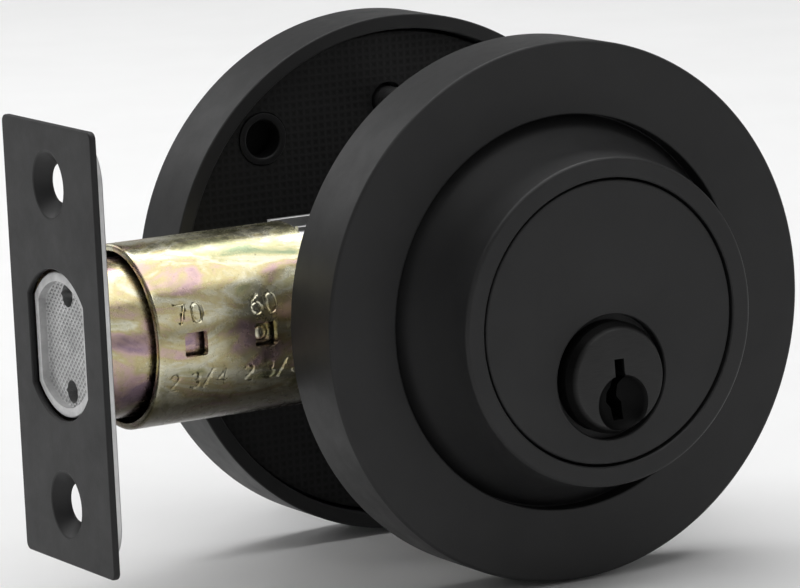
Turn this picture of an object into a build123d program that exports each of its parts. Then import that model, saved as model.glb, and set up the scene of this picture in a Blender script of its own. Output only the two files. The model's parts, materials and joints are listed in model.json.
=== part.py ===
"""Single-cylinder deadbolt lock: keyed cylinder and round rosette outside (towards -Y), tubular bolt
with a backset of 60 or 70 mm towards -X, round rosette and thumbturn inside (towards +Y). The origin is
where the cross bore's axis (Y) meets the bolt's centreline (X). Millimetres, +Z up, with the bolt drawn back."""

from build123d import *
import math
import os

os.makedirs("parts", exist_ok=True)

# Door and rosettes
DOOR = 32.0  # gap between the rosettes: the thinnest door that the lock is set for
ROSETTE_R = 35.0
ROSETTE_T = 10.4
RIM = 2.0  # wall of the rosette's skirt
FACE_T = 2.6  # thickness of the rosette's face
OPENING_R = 25.5  # hole in the exterior rosette
OUTER_Y = -DOOR / 2 - ROSETTE_T  # exterior rosette's face
INNER_Y = DOOR / 2 + ROSETTE_T  # interior rosette's face
EDGE = 0.5  # rounding of the rosettes' outer edges

# Cylinder
COLLAR_R = 21.1
COLLAR_H = 10.0  # how far the collar stands out of the rosette
COLLAR_Y = OUTER_Y - COLLAR_H
COLLAR_BACK_Y = -18.6
CYLINDER_R = 18.2
CLIP_GROOVE = (-17.0, -15.9)  # the snap ring's groove around the cylinder
CLIP_GROOVE_DEPTH = 0.8
CYLINDER_Y = COLLAR_Y + 0.25  # the cylinder's face, just inside the collar's
CYLINDER_BACK_Y = -12.0
SEAM = 0.3  # ring gap between collar and cylinder
DROP = 7.0  # the key plug and the turning axis lie this far below the centreline
PLUG_R = 6.35
PLUG_PROUD = 2.0  # the plug's face stands this far out of the cylinder's
PLUG_NOSE = 1.6  # length of the plug's tapered nose
PLUG_RECESS_R = 8.0
PLUG_RECESS = 1.5
RUN = 0.05  # radial clearance of a part that turns in a bore
PIN_R = 1.45
PIN_BORE_R = 1.5
PIN_PITCH = 3.96
PIN_Y = [CYLINDER_Y + 6.3 + i * PIN_PITCH for i in range(5)]
KEY_PIN_LENGTHS = (4.6, 5.8, 5.0, 6.2, 4.9)
SHEAR = 0.2  # the pins stop this far short of the shear line
DRIVER_PIN = 4.6
CHAMBER_TOP = 13.0
CAP_STRIP = (4.4, 1.5)  # width and depth of the groove over the pin chambers
CAP_FRONT_Y = PIN_Y[0] - 3.0

# Bolt, tubes and bolt case
BACKSET = 60.0
BACKSET_STEP = 10.0
PLATE_W, PLATE_H, PLATE_T = 25.4, 57.0, 0.9
PLATE_CORNER = 1.0
BACKING_T = 1.0
BACKING_INSET, BACKING_CORNER = 0.8, 6.0
SCREW_SPACING = 41.3
SCREW_HEIGHTS = (-SCREW_SPACING / 2, SCREW_SPACING / 2)
SCREW_HOLE_R = 2.5
SCREW_HEAD_R = 4.3
DIMPLE = PLATE_T + BACKING_T  # depth of the pressed screw seats behind the faceplate's front
DIMPLE_R, DIMPLE_WALL = 4.8, 0.7
BOLT_R, BOLT_W = 9.4, 15.0
BOLT_FRONT = -BACKSET + 0.7
BOLT_BACK = -27.5
BOLT_RIM = 1.25
BOLT_RECESS = 1.1
BOLT_CLEARANCE = 0.35
FRONT_TUBE_R, FRONT_TUBE_BORE = 10.3, 9.75
FRONT_TUBE_BACK = -33.5
TUBE_R, TUBE_BORE = 12.0, 11.1
TUBE_LIP = 0.45  # rounding of the outer tube's front rim
TUBE_FRONT, TUBE_BACK = -51.6, -26.8
WINDOW = (3.2, 3.1)
WINDOW_60_X = -36.3
CHEEK_IN, CHEEK_T, CHEEK_H = 3.3, 1.0, 11.8
CHEEK_BACK = 19.0
HUB_R = 4.2
SWING = 90.0  # degrees that the thumbturn and hub turn through
THROW = 25.4  # the bolt's travel
ARM_R = THROW / 2 / math.sin(math.radians(SWING / 2))  # hub's axis to the drive pin
DRIVE_PIN_R = 1.5
ARM_HALF = 1.2
BAR_IN, BAR_T = 1.5, 1.4
FORK_CLEARANCE = 0.7  # lets the straight fork follow the pin's arc
CROSS_PIN_R = 1.2
CROSS_PIN_X = -31.5
TAILPIECE = (1.8, 6.0)
SLOT_CLEARANCE = 0.1

# Interior
PAD_Y, PAD_T = 18.2, 1.2
MOUNT_T = 1.5
MOUNT_R = ROSETTE_R - RIM - 0.4
TIE_Z = 23.2
TIE_R = 2.0
TIE_HEAD_R, TIE_HEAD = 3.6, 1.6
TIE_SLOT, TIE_SLOT_DEPTH = (4.6, 0.9), 1.3
SPINDLE_R = 5.0
LEVER = (8.0, 36.0, 17.0)  # width, height and reach of the thumbturn's paddle
FIXING_R = 28.0  # circle of the plate's two fixing holes


def save(builder, name):
    """Labels a finished piece and writes its STEP file."""
    builder.part.label = name
    export_step(builder.part, f"parts/{name}.step")


def facing(y):
    """The plane at y, drawn with X to the right and Z up; a positive extrusion goes towards -Y."""
    return Plane.XZ.offset(-y)


def turned(points, rounds=None, z=0.0):
    """Revolves an outline of (radius, y) points about the Y line at height z; rounds gives corners' radii."""
    with BuildSketch(Plane.XY.offset(z)) as outline:
        with BuildLine():
            Polyline(*points, close=True)
        make_face()
        for corner, radius in (rounds or {}).items():
            fillet(outline.vertices().sort_by_distance(points[corner])[0], radius)
    revolve(outline.sketch, axis=Axis((0, 0, z), (0, 1, 0)))


def ring(outer, inner, y0, y1, z=0.0):
    """A plain washer about the Y line at height z."""
    turned([(inner, y0), (outer, y0), (outer, y1), (inner, y1)], z=z)


def double_d(radius, width):
    """A circle cut by two flats, the section of the bolt and of its holes."""
    with BuildSketch() as section:
        Circle(radius)
        Rectangle(width, 2 * radius, mode=Mode.INTERSECT)
    return section.sketch


# ---------------------------------------------------------------- exterior side
PLATE_SCREW_R = 1.25
PLATE_SCREW_Y = OUTER_Y + FACE_T + 0.6  # bottom of the blind holes in the rosette's bosses
PLATE_BOSS_R = 2.9
PLATE_BOSS_CIRCLE = 29.6

with BuildPart() as exterior_rosette:
    turned(
        [
            (OPENING_R, OUTER_Y),
            (ROSETTE_R, OUTER_Y),
            (ROSETTE_R, -DOOR / 2),
            (ROSETTE_R - RIM, -DOOR / 2),
            (ROSETTE_R - RIM, OUTER_Y + FACE_T),
            (OPENING_R, OUTER_Y + FACE_T),
        ],
        {0: 0.3, 1: EDGE, 2: EDGE / 2},
    )
    with BuildSketch(facing(OUTER_Y + FACE_T)):
        with PolarLocations(PLATE_BOSS_CIRCLE, 3, start_angle=90):
            Circle(PLATE_BOSS_R)
    extrude(amount=-(COLLAR_BACK_Y - OUTER_Y - FACE_T))
    with BuildSketch(facing(PLATE_SCREW_Y)):
        with PolarLocations(PLATE_BOSS_CIRCLE, 3, start_angle=90):
            Circle(PLATE_SCREW_R)
    extrude(amount=-(COLLAR_BACK_Y - OUTER_Y - FACE_T), mode=Mode.SUBTRACT)
save(exterior_rosette, "exterior_rosette")

COLLAR_FLANGE_R = 26.4  # clear of the rosette's screw bosses
FLARE_R = OPENING_R - 0.1
COLLAR_FLANGE_T = 2.0
COLLAR_SKIRT_R = COLLAR_R + 0.6
with BuildPart() as cylinder_collar:
    with BuildSketch():
        with BuildLine():
            flare_y = OUTER_Y + FACE_T
            rise = flare_y - COLLAR_Y - EDGE
            spread = FLARE_R - COLLAR_R
            sweep_r = (rise**2 + spread**2) / (2 * spread)
            Polyline(
                (FLARE_R, flare_y),
                (COLLAR_FLANGE_R, flare_y),
                (COLLAR_FLANGE_R, flare_y + COLLAR_FLANGE_T),
                (COLLAR_SKIRT_R, flare_y + COLLAR_FLANGE_T),
                (COLLAR_SKIRT_R, COLLAR_BACK_Y),
                (CYLINDER_R + SEAM, COLLAR_BACK_Y),
                (CYLINDER_R + SEAM, COLLAR_Y),
                (COLLAR_R - EDGE, COLLAR_Y),
            )
            CenterArc((COLLAR_R - EDGE, COLLAR_Y + EDGE), EDGE, -90, 90)
            CenterArc(
                (COLLAR_R + sweep_r, COLLAR_Y + EDGE),
                sweep_r,
                180,
                -math.degrees(math.asin(rise / sweep_r)),
            )
        make_face()
    revolve(axis=Axis.Y)
save(cylinder_collar, "cylinder_collar")

with BuildPart() as cylinder_body:
    turned(
        [
            (0, CYLINDER_Y),
            (CYLINDER_R, CYLINDER_Y),
            (CYLINDER_R, CLIP_GROOVE[0]),
            (CYLINDER_R - CLIP_GROOVE_DEPTH, CLIP_GROOVE[0]),
            (CYLINDER_R - CLIP_GROOVE_DEPTH, CLIP_GROOVE[1]),
            (CYLINDER_R, CLIP_GROOVE[1]),
            (CYLINDER_R, CYLINDER_BACK_Y),
            (0, CYLINDER_BACK_Y),
        ],
        {1: 0.25},
    )
    with BuildSketch(facing(CYLINDER_Y)):
        with Locations((0, -DROP)):
            Circle(PLUG_R + RUN)
    extrude(amount=CYLINDER_Y - CYLINDER_BACK_Y, mode=Mode.SUBTRACT)
    with BuildSketch(facing(CYLINDER_Y)):
        with Locations((0, -DROP)):
            Circle(PLUG_RECESS_R)
    extrude(amount=-PLUG_RECESS, mode=Mode.SUBTRACT)
    with BuildSketch(Plane.XY.offset(-DROP)):
        with Locations(*[(0, y) for y in PIN_Y]):
            Circle(PIN_BORE_R)
    extrude(amount=CHAMBER_TOP + DROP, mode=Mode.SUBTRACT)
    with BuildSketch(Plane.XY.offset(CHAMBER_TOP)):
        with Locations((0, (CAP_FRONT_Y + CYLINDER_BACK_Y) / 2)):
            Rectangle(CAP_STRIP[0], CYLINDER_BACK_Y - CAP_FRONT_Y)
    extrude(amount=CAP_STRIP[1], mode=Mode.SUBTRACT)
save(cylinder_body, "cylinder_body")

CAP_FIT = 0.02
with BuildPart() as pin_chamber_cap:
    with BuildSketch(Plane.XY.offset(CHAMBER_TOP + CAP_FIT)):
        with Locations((0, (CAP_FRONT_Y + CYLINDER_BACK_Y) / 2)):
            Rectangle(CAP_STRIP[0] - 2 * CAP_FIT, CYLINDER_BACK_Y - CAP_FRONT_Y - 2 * CAP_FIT)
    extrude(amount=CAP_STRIP[1] - 2 * CAP_FIT)
save(pin_chamber_cap, "pin_chamber_cap")

with BuildPart() as driver_pins:
    with BuildSketch(Plane.XY.offset(PLUG_R - DROP + SHEAR)):
        with Locations(*[(0, y) for y in PIN_Y]):
            Circle(PIN_R)
    extrude(amount=DRIVER_PIN)
save(driver_pins, "driver_pins")

SPRING_WIRE = 0.16
SPRING_R = 1.15
SPRING_TURNS = 6
SPRING_FOOT = PLUG_R - DROP + SHEAR + DRIVER_PIN + SPRING_WIRE + CAP_FIT
SPRING_LENGTH = CHAMBER_TOP - SPRING_WIRE - SPRING_FOOT - CAP_FIT
with BuildPart() as pin_springs:
    for y in PIN_Y:
        with BuildLine() as coil:
            Helix(SPRING_LENGTH / SPRING_TURNS, SPRING_LENGTH, SPRING_R, center=(0, y, SPRING_FOOT))
        with BuildSketch(Plane(origin=coil.line @ 0, z_dir=coil.line % 0)):
            Circle(SPRING_WIRE)
        sweep(path=coil.line, is_frenet=True)
save(pin_springs, "pin_springs")

# The keyway's outline about the plug's centre, X then Z: a warded slot, slightly S-shaped.
KEYWAY = [
    (-0.75, 2.5),
    (0.65, 2.5),
    (0.75, 0.7),
    (1.15, 0.1),
    (0.45, -0.9),
    (0.45, -2.5),
    (1.15, -3.3),
    (1.15, -5.4),
    (-0.3, -5.4),
    (-0.45, -3.9),
    (-1.15, -3.1),
    (-1.15, -1.9),
    (-0.6, -1.1),
]
PLUG_Y = CYLINDER_Y - PLUG_PROUD
SHOULDER_Y = CYLINDER_Y + PLUG_RECESS - 0.05
NECK_R = 5.0
NECK_Y = CYLINDER_BACK_Y + 0.1
PEG_Y = -10.6
HEAD_Y = -9.6
PEG_ANGLE = 40.0
PEG_RADII = (3.1, 4.6)
SHOULDER_R = PLUG_RECESS_R - 0.8
BOWL = (3.7, 2.6, 1.5)  # mouth radius, bottom radius and depth of the scoop around the keyway
BOWL_PLACE = (0.35, -DROP - 3.2)
with BuildPart() as key_plug:
    turned(
        [
            (0, PLUG_Y),
            (PLUG_R, PLUG_Y),
            (SHOULDER_R, PLUG_Y + PLUG_NOSE),
            (SHOULDER_R, SHOULDER_Y),
            (PLUG_R, SHOULDER_Y),
            (PLUG_R, NECK_Y),
            (NECK_R, NECK_Y),
            (NECK_R, PEG_Y),
            (0, PEG_Y),
        ],
        {1: 0.35},
        z=-DROP,
    )
    with BuildSketch(facing(PLUG_Y)):
        with Locations((0, -DROP)):
            with BuildLine():
                Polyline(*[(x, z - DROP) for x, z in KEYWAY], close=True)
            make_face()
    extrude(amount=-(CYLINDER_BACK_Y - PLUG_Y - 1.0), mode=Mode.SUBTRACT)
    with Locations(Location((BOWL_PLACE[0], PLUG_Y + BOWL[2] / 2, BOWL_PLACE[1]), (90, 0, 0))):
        Cone(bottom_radius=BOWL[1], top_radius=BOWL[0], height=BOWL[2], mode=Mode.SUBTRACT)
    with BuildSketch(Plane.XY.offset(-DROP - 1.2)):
        with Locations(*[(0, y) for y in PIN_Y]):
            Circle(PIN_BORE_R)
    extrude(amount=PLUG_R + 1.3, mode=Mode.SUBTRACT)
    with BuildSketch(facing(PEG_Y)):
        with Locations((0, -DROP)):
            Circle(PEG_RADII[1])
            Circle(PEG_RADII[0], mode=Mode.SUBTRACT)
            with BuildLine():
                reach = 2 * PEG_RADII[1]
                half = math.tan(math.radians(PEG_ANGLE / 2)) * reach
                Polyline((0, -DROP), (half, -DROP - reach), (-half, -DROP - reach), close=True)
            make_face(mode=Mode.INTERSECT)
    extrude(amount=-(HEAD_Y - PEG_Y))
save(key_plug, "key_plug")

PIN_TIP_R, PIN_TIP = 0.5, 1.2
KEY_PIN_R = PIN_R - 0.05
with BuildPart() as key_pins:
    for y, length in zip(PIN_Y, KEY_PIN_LENGTHS):
        top = -DROP + PLUG_R - SHEAR
        with Locations((0, y, top - (length - PIN_TIP) / 2)):
            Cylinder(KEY_PIN_R, length - PIN_TIP)
        with Locations((0, y, top - length + PIN_TIP / 2)):
            Cone(bottom_radius=PIN_TIP_R, top_radius=KEY_PIN_R, height=PIN_TIP)
save(key_pins, "key_pins")

CAP_WALL_Y = -9.5
CAP_BACK_Y = -8.8
CAP_R, CAP_HOLE_R = 7.4, 3.5
with BuildPart() as plug_cap:
    turned(
        [
            (NECK_R, NECK_Y + 0.05),
            (CAP_R, NECK_Y + 0.05),
            (CAP_R, CAP_BACK_Y),
            (CAP_HOLE_R, CAP_BACK_Y),
            (CAP_HOLE_R, CAP_WALL_Y),
            (NECK_R, CAP_WALL_Y),
        ],
        {2: 0.3},
        z=-DROP,
    )
save(plug_cap, "plug_cap")

SNAP_RING_R, SNAP_RING_T = 19.7, 1.0
SNAP_RING_MOUTH = 9.0
with BuildPart() as cylinder_snap_ring:
    with BuildSketch(facing(CLIP_GROOVE[0] + RUN)):
        Circle(SNAP_RING_R)
        Circle(CYLINDER_R - CLIP_GROOVE_DEPTH + RUN, mode=Mode.SUBTRACT)
        with Locations((0, SNAP_RING_R)):
            Rectangle(SNAP_RING_MOUTH, SNAP_RING_MOUTH, mode=Mode.SUBTRACT)
    extrude(amount=-SNAP_RING_T)
save(cylinder_snap_ring, "cylinder_snap_ring")

BRIDGE_T = 1.6
BRIDGE_SCREW_Y = OUTER_Y + FACE_T + 1.2
BRIDGE_SCREW_HEAD = (2.3, 0.9)
POST_R = 3.3
POST_FRONT_Y, POST_BACK_Y = COLLAR_BACK_Y, -12.0
with BuildPart() as exterior_bridge:
    with BuildSketch(facing(COLLAR_BACK_Y)):
        Circle(MOUNT_R)
        Circle(CYLINDER_R + 0.1, mode=Mode.SUBTRACT)
        with Locations((0, TIE_Z), (0, -TIE_Z)):
            Circle(POST_R, mode=Mode.SUBTRACT)
        with PolarLocations(PLATE_BOSS_CIRCLE, 3, start_angle=90):
            Circle(PLATE_SCREW_R + 0.15, mode=Mode.SUBTRACT)
    extrude(amount=-BRIDGE_T)
save(exterior_bridge, "exterior_bridge")

with BuildPart() as mounting_posts:
    with BuildSketch(facing(POST_FRONT_Y)):
        with Locations((0, TIE_Z), (0, -TIE_Z)):
            Circle(POST_R)
            Circle(TIE_R + RUN, mode=Mode.SUBTRACT)
    extrude(amount=-(POST_BACK_Y - POST_FRONT_Y))
save(mounting_posts, "mounting_posts")

with BuildPart() as bridge_screws:
    with BuildSketch(facing(BRIDGE_SCREW_Y)):
        with PolarLocations(PLATE_BOSS_CIRCLE, 3, start_angle=90):
            Circle(PLATE_SCREW_R - RUN)
    extrude(amount=-(COLLAR_BACK_Y + BRIDGE_T - BRIDGE_SCREW_Y))
    with BuildSketch(facing(COLLAR_BACK_Y + BRIDGE_T)):
        with PolarLocations(PLATE_BOSS_CIRCLE, 3, start_angle=90):
            Circle(BRIDGE_SCREW_HEAD[0])
    extrude(amount=-BRIDGE_SCREW_HEAD[1])
save(bridge_screws, "bridge_screws")

# ---------------------------------------------------------------- bolt, tubes and bolt case
def along(x):
    """The plane at x, drawn with Y to the right and Z up; a positive extrusion goes towards +X."""
    return Plane.YZ.offset(x)


with BuildPart() as faceplate:
    with BuildSketch(along(-BACKSET)):
        RectangleRounded(PLATE_W, PLATE_H, PLATE_CORNER)
        add(double_d(BOLT_R + BOLT_CLEARANCE, BOLT_W + 2 * BOLT_CLEARANCE), mode=Mode.SUBTRACT)
    extrude(amount=PLATE_T)
    for z in SCREW_HEIGHTS:
        with Locations(Location((-BACKSET + (PLATE_T + DIMPLE) / 2, 0, z), (0, 90, 0))):
            Cone(bottom_radius=DIMPLE_R, top_radius=SCREW_HOLE_R + DIMPLE_WALL, height=DIMPLE - PLATE_T)
    with Locations(*[Location((-BACKSET, 0, z), (0, -90, 0)) for z in SCREW_HEIGHTS]):
        CounterSinkHole(SCREW_HOLE_R, SCREW_HEAD_R, depth=DIMPLE + 1, counter_sink_angle=90)
save(faceplate, "faceplate")

with BuildPart() as backing_plate:
    with BuildSketch(along(-BACKSET + PLATE_T)):
        RectangleRounded(PLATE_W - 2 * BACKING_INSET, PLATE_H - 2 * BACKING_INSET, BACKING_CORNER)
        Circle(FRONT_TUBE_R + 0.1, mode=Mode.SUBTRACT)
        with Locations(*[(0, z) for z in SCREW_HEIGHTS]):
            Circle(DIMPLE_R + 0.15, mode=Mode.SUBTRACT)
    extrude(amount=BACKING_T)
save(backing_plate, "backing_plate")

FRONT_TUBE_X = -BACKSET + PLATE_T
with BuildPart() as front_tube:
    with BuildSketch(along(FRONT_TUBE_X)):
        Circle(FRONT_TUBE_R)
        Circle(FRONT_TUBE_BORE, mode=Mode.SUBTRACT)
    extrude(amount=FRONT_TUBE_BACK - FRONT_TUBE_X)
save(front_tube, "front_tube")

with BuildPart() as outer_tube:
    with BuildSketch(along(TUBE_FRONT)):
        Circle(TUBE_R)
        Circle(TUBE_BORE, mode=Mode.SUBTRACT)
    extrude(amount=TUBE_BACK - TUBE_FRONT)
    fillet(outer_tube.edges().group_by(Axis.X)[0].sort_by(SortBy.RADIUS)[-1], TUBE_LIP)
    with BuildSketch(facing(0)):
        with Locations((WINDOW_60_X, 0), (WINDOW_60_X - BACKSET_STEP, 0)):
            RectangleRounded(*WINDOW, 0.5)
    extrude(amount=TUBE_R + 1, mode=Mode.SUBTRACT)
save(outer_tube, "outer_tube")

# Each cheek is a flat plate whose front end opens into a half ring that closes the outer tube.
NECK_RING = 1.0
RIVETS = [(-22.0, 8.5), (-22.0, -8.5), (-11.0, -9.9), (11.0, -9.9)]
RIVET_R = 1.3


def cheek(side):
    """One side of the bolt case; side is -1 for the exterior one and 1 for the interior one."""
    inner = side * CHEEK_IN
    with BuildSketch(facing(inner)) as flat:
        with Locations(((TUBE_BACK + CHEEK_BACK) / 2, 0)):
            Rectangle(CHEEK_BACK - TUBE_BACK, 2 * CHEEK_H)
        fillet(flat.vertices().group_by(Axis.X)[-1], 5.0)
        with Locations((0, -DROP)):
            Circle(HUB_R + RUN, mode=Mode.SUBTRACT)
        with Locations(*RIVETS):
            Circle(RIVET_R - 0.3, mode=Mode.SUBTRACT)
    extrude(flat.sketch, amount=-side * CHEEK_T)
    for start, depth, outer, bore in (
        (TUBE_BACK, NECK_RING, TUBE_R, 0.0),
        (TUBE_BACK - 3.0, 3.0, TUBE_BORE, BOLT_R + 0.5),
    ):
        with BuildSketch(along(start)) as half:
            Circle(outer)
            if bore:
                Circle(bore, mode=Mode.SUBTRACT)
            with Locations((side * (CHEEK_IN + outer), 0)):
                Rectangle(2 * outer, 2 * outer, mode=Mode.INTERSECT)
        extrude(half.sketch, amount=depth)


with BuildPart() as case_cheek_exterior:
    cheek(-1)
save(case_cheek_exterior, "case_cheek_exterior")

with BuildPart() as case_cheek_interior:
    cheek(1)
save(case_cheek_interior, "case_cheek_interior")

with BuildPart() as case_rivets:
    for reach, radius in ((CHEEK_IN, RIVET_R), (CHEEK_IN + CHEEK_T, RIVET_R - 0.35)):
        with BuildSketch(facing(0)):
            with Locations(*RIVETS):
                Circle(radius)
        extrude(amount=reach, both=True)
    for side in (-1, 1):
        with BuildSketch(facing(side * (CHEEK_IN + CHEEK_T))):
            with Locations(*RIVETS):
                Circle(RIVET_R + 0.4)
        extrude(amount=-side * 0.5)
save(case_rivets, "case_rivets")

LEAF_Z = RIVETS[2][1] - RIVET_R
with BuildPart() as detent_spring:
    with BuildSketch(Plane.XZ):
        with BuildLine():
            Polyline(
                (-13.5, LEAF_Z),
                (13.5, LEAF_Z),
                (13.5, LEAF_Z - 0.3),
                (-13.5, LEAF_Z - 0.3),
                close=True,
            )
        make_face()
    extrude(amount=CHEEK_IN - 0.6, both=True)
save(detent_spring, "detent_spring")

PIN_REST = (ARM_R * math.sin(math.radians(SWING / 2)), ARM_R * math.cos(math.radians(SWING / 2)) - DROP)
with BuildPart() as cam_hub:
    with BuildSketch(facing(0)):
        with Locations((0, -DROP)):
            Circle(HUB_R)
    extrude(amount=CHEEK_IN + CHEEK_T, both=True)
    with BuildSketch(facing(0)):
        with Locations((0, -DROP)):
            Circle(HUB_R)
        with Locations(PIN_REST):
            Circle(DRIVE_PIN_R + 1.2)
        make_hull()
    extrude(amount=ARM_HALF, both=True)
    with BuildSketch(facing(0)):
        with Locations(PIN_REST):
            Circle(DRIVE_PIN_R)
        with Locations((0, -DROP)):
            Rectangle(TAILPIECE[0] + 2 * SLOT_CLEARANCE, TAILPIECE[1] + 2 * SLOT_CLEARANCE)
    extrude(amount=CHEEK_IN + CHEEK_T + 1, both=True, mode=Mode.SUBTRACT)
save(cam_hub, "cam_hub")

with BuildPart() as drive_pin:
    with BuildSketch(facing(0)):
        with Locations(PIN_REST):
            Circle(DRIVE_PIN_R)
    extrude(amount=BAR_IN + BAR_T, both=True)
save(drive_pin, "drive_pin")

LINK_FRONT, LINK_BLOCK_BACK = -44.0, -19.0
LINK_LOW, LINK_HIGH = -2.3, 2.4
FORK_WALL = 2.0
FORK_TOP = ARM_R - DROP + DRIVE_PIN_R + 1.0
FORK_HALF = DRIVE_PIN_R + FORK_CLEARANCE
FORK_FOOT = PIN_REST[1] - DRIVE_PIN_R - 0.6
WEB_SPAN = 60.0  # more than the link's length and height
SLOT_ENDS = (CROSS_PIN_X - BACKSET_STEP - CROSS_PIN_R - 0.3, CROSS_PIN_X + CROSS_PIN_R + 0.3)
with BuildPart() as drive_link:
    with BuildSketch(facing(0)):
        with BuildLine():
            Polyline(
                (LINK_FRONT, LINK_LOW),
                (PIN_REST[0] + FORK_HALF + FORK_WALL, LINK_LOW),
                (PIN_REST[0] + FORK_HALF + FORK_WALL, FORK_TOP),
                (PIN_REST[0] - FORK_HALF - FORK_WALL, FORK_TOP),
                (PIN_REST[0] - FORK_HALF - FORK_WALL, LINK_HIGH),
                (LINK_FRONT, LINK_HIGH),
                close=True,
            )
        make_face()
        with Locations((PIN_REST[0], (FORK_FOOT + FORK_TOP) / 2)):
            Rectangle(2 * FORK_HALF, FORK_TOP - FORK_FOOT, mode=Mode.SUBTRACT)
        with Locations(((SLOT_ENDS[0] + SLOT_ENDS[1]) / 2, 0)):
            SlotOverall(SLOT_ENDS[1] - SLOT_ENDS[0], 2 * (CROSS_PIN_R + 0.2), mode=Mode.SUBTRACT)
    extrude(amount=BAR_IN + BAR_T, both=True)
    with BuildSketch(facing(0)):
        with Locations((LINK_BLOCK_BACK + WEB_SPAN / 2, 0)):
            Rectangle(WEB_SPAN, WEB_SPAN)
    extrude(amount=BAR_IN, both=True, mode=Mode.SUBTRACT)
save(drive_link, "drive_link")

ROD_Z, ROD_R, ROD_LENGTH = 6.2, 1.5, 22.0
ROD_SUNK = 3.0
LINK_PLAY = 0.3
with BuildPart() as bolt:
    with BuildSketch(along(BOLT_FRONT)):
        add(double_d(BOLT_R, BOLT_W))
    extrude(amount=BOLT_BACK - BOLT_FRONT)
    chamfer(bolt.edges().group_by(Axis.X)[0], 0.35)
    with BuildSketch(along(BOLT_FRONT)):
        add(double_d(BOLT_R - BOLT_RIM, BOLT_W - 2 * BOLT_RIM))
    extrude(amount=BOLT_RECESS, mode=Mode.SUBTRACT)
    with BuildSketch(along(BOLT_FRONT)):
        with Locations((0, ROD_Z), (0, -ROD_Z)):
            Circle(ROD_R)
    extrude(amount=ROD_LENGTH + ROD_SUNK + 1, mode=Mode.SUBTRACT)
    with BuildSketch(along(BOLT_BACK)):
        with Locations((0, (LINK_LOW + LINK_HIGH) / 2)):
            Rectangle(2 * (BAR_IN + BAR_T + LINK_PLAY), LINK_HIGH - LINK_LOW + 2.6 * LINK_PLAY)
    extrude(amount=LINK_FRONT - 2.0 - BOLT_BACK, mode=Mode.SUBTRACT)
    with BuildSketch(facing(0)):
        with Locations((CROSS_PIN_X, 0)):
            Circle(CROSS_PIN_R)
    extrude(amount=BOLT_W, both=True, mode=Mode.SUBTRACT)
save(bolt, "bolt")

with BuildPart() as bolt_cross_pin:
    with BuildSketch(facing(0)):
        with Locations((CROSS_PIN_X, 0)):
            Circle(CROSS_PIN_R)
    extrude(amount=BOLT_W / 2 - 0.2, both=True)
save(bolt_cross_pin, "bolt_cross_pin")

with BuildPart() as anti_saw_rods:
    with BuildSketch(along(BOLT_FRONT + ROD_SUNK)):
        with Locations((0, ROD_Z), (0, -ROD_Z)):
            Circle(ROD_R - RUN)
    extrude(amount=ROD_LENGTH)
save(anti_saw_rods, "anti_saw_rods")

# ---------------------------------------------------------------- tailpiece
HEAD_R, TAB_R = 2.9, 4.6
TAB_CENTRE = 45.0
TAIL_END_Y = 24.6
with BuildPart() as tailpiece:
    with BuildSketch(facing(PEG_Y + 0.1)):
        with Locations((0, -DROP)):
            Circle(HEAD_R)
        with BuildLine():
            first, last = (math.radians(TAB_CENTRE + k * PEG_ANGLE / 2) for k in (-1, 1))
            Line((0, -DROP), (TAB_R * math.cos(first), TAB_R * math.sin(first) - DROP))
            CenterArc((0, -DROP), TAB_R, TAB_CENTRE - PEG_ANGLE / 2, PEG_ANGLE)
            Line((TAB_R * math.cos(last), TAB_R * math.sin(last) - DROP), (0, -DROP))
        make_face()
    extrude(amount=-(HEAD_Y - PEG_Y - 0.1))
    with BuildSketch(facing(HEAD_Y)):
        with Locations((0, -DROP)):
            Rectangle(*TAILPIECE)
    extrude(amount=-(TAIL_END_Y - HEAD_Y))
save(tailpiece, "tailpiece")

# ---------------------------------------------------------------- interior side
BUSHING_R = 6.6
with BuildPart() as interior_rosette:
    turned(
        [
            (0, INNER_Y),
            (ROSETTE_R, INNER_Y),
            (ROSETTE_R, DOOR / 2),
            (ROSETTE_R - RIM, DOOR / 2),
            (ROSETTE_R - RIM, INNER_Y - FACE_T),
            (0, INNER_Y - FACE_T),
        ],
        {1: EDGE, 2: EDGE / 2},
    )
    with BuildSketch(facing(INNER_Y)):
        with Locations((0, -DROP)):
            Circle(BUSHING_R)
    extrude(amount=FACE_T, mode=Mode.SUBTRACT)
    with Locations(*[Location((0, INNER_Y, z), (-90, 0, 0)) for z in (-TIE_Z, TIE_Z)]):
        CounterSinkHole(TIE_R + 0.3, TIE_HEAD_R + 0.3, depth=FACE_T)
save(interior_rosette, "interior_rosette")

EYELET_R, EYELET_BORE = 3.5, 2.5
FIXINGS = [(FIXING_R * math.cos(math.radians(a)), FIXING_R * math.sin(math.radians(a))) for a in (134, 314)]


def interior_disc(y, thickness, hole):
    """A disc inside the interior rosette with its openings for the spindle, tie screws and fixing holes."""
    with BuildSketch(facing(y)) as disc:
        Circle(MOUNT_R)
        with Locations((0, -DROP)):
            Circle(hole, mode=Mode.SUBTRACT)
        with Locations((0, TIE_Z), (0, -TIE_Z)):
            Circle(TIE_R + 0.5, mode=Mode.SUBTRACT)
        with Locations(*FIXINGS):
            Circle(EYELET_R, mode=Mode.SUBTRACT)
    extrude(disc.sketch, amount=-thickness)


with BuildPart() as mounting_pad:
    interior_disc(PAD_Y, PAD_T, 8.5)
save(mounting_pad, "mounting_pad")

PLATE_Y = PAD_Y + PAD_T
with BuildPart() as mounting_plate:
    interior_disc(PLATE_Y, MOUNT_T, 8.0)
save(mounting_plate, "mounting_plate")

with BuildPart() as plate_eyelets:
    with BuildSketch(facing(PAD_Y - 0.2)):
        with Locations(*FIXINGS):
            Circle(EYELET_R)
            Circle(EYELET_BORE, mode=Mode.SUBTRACT)
    extrude(amount=-(PAD_T + MOUNT_T + 0.2))
save(plate_eyelets, "plate_eyelets")

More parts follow.
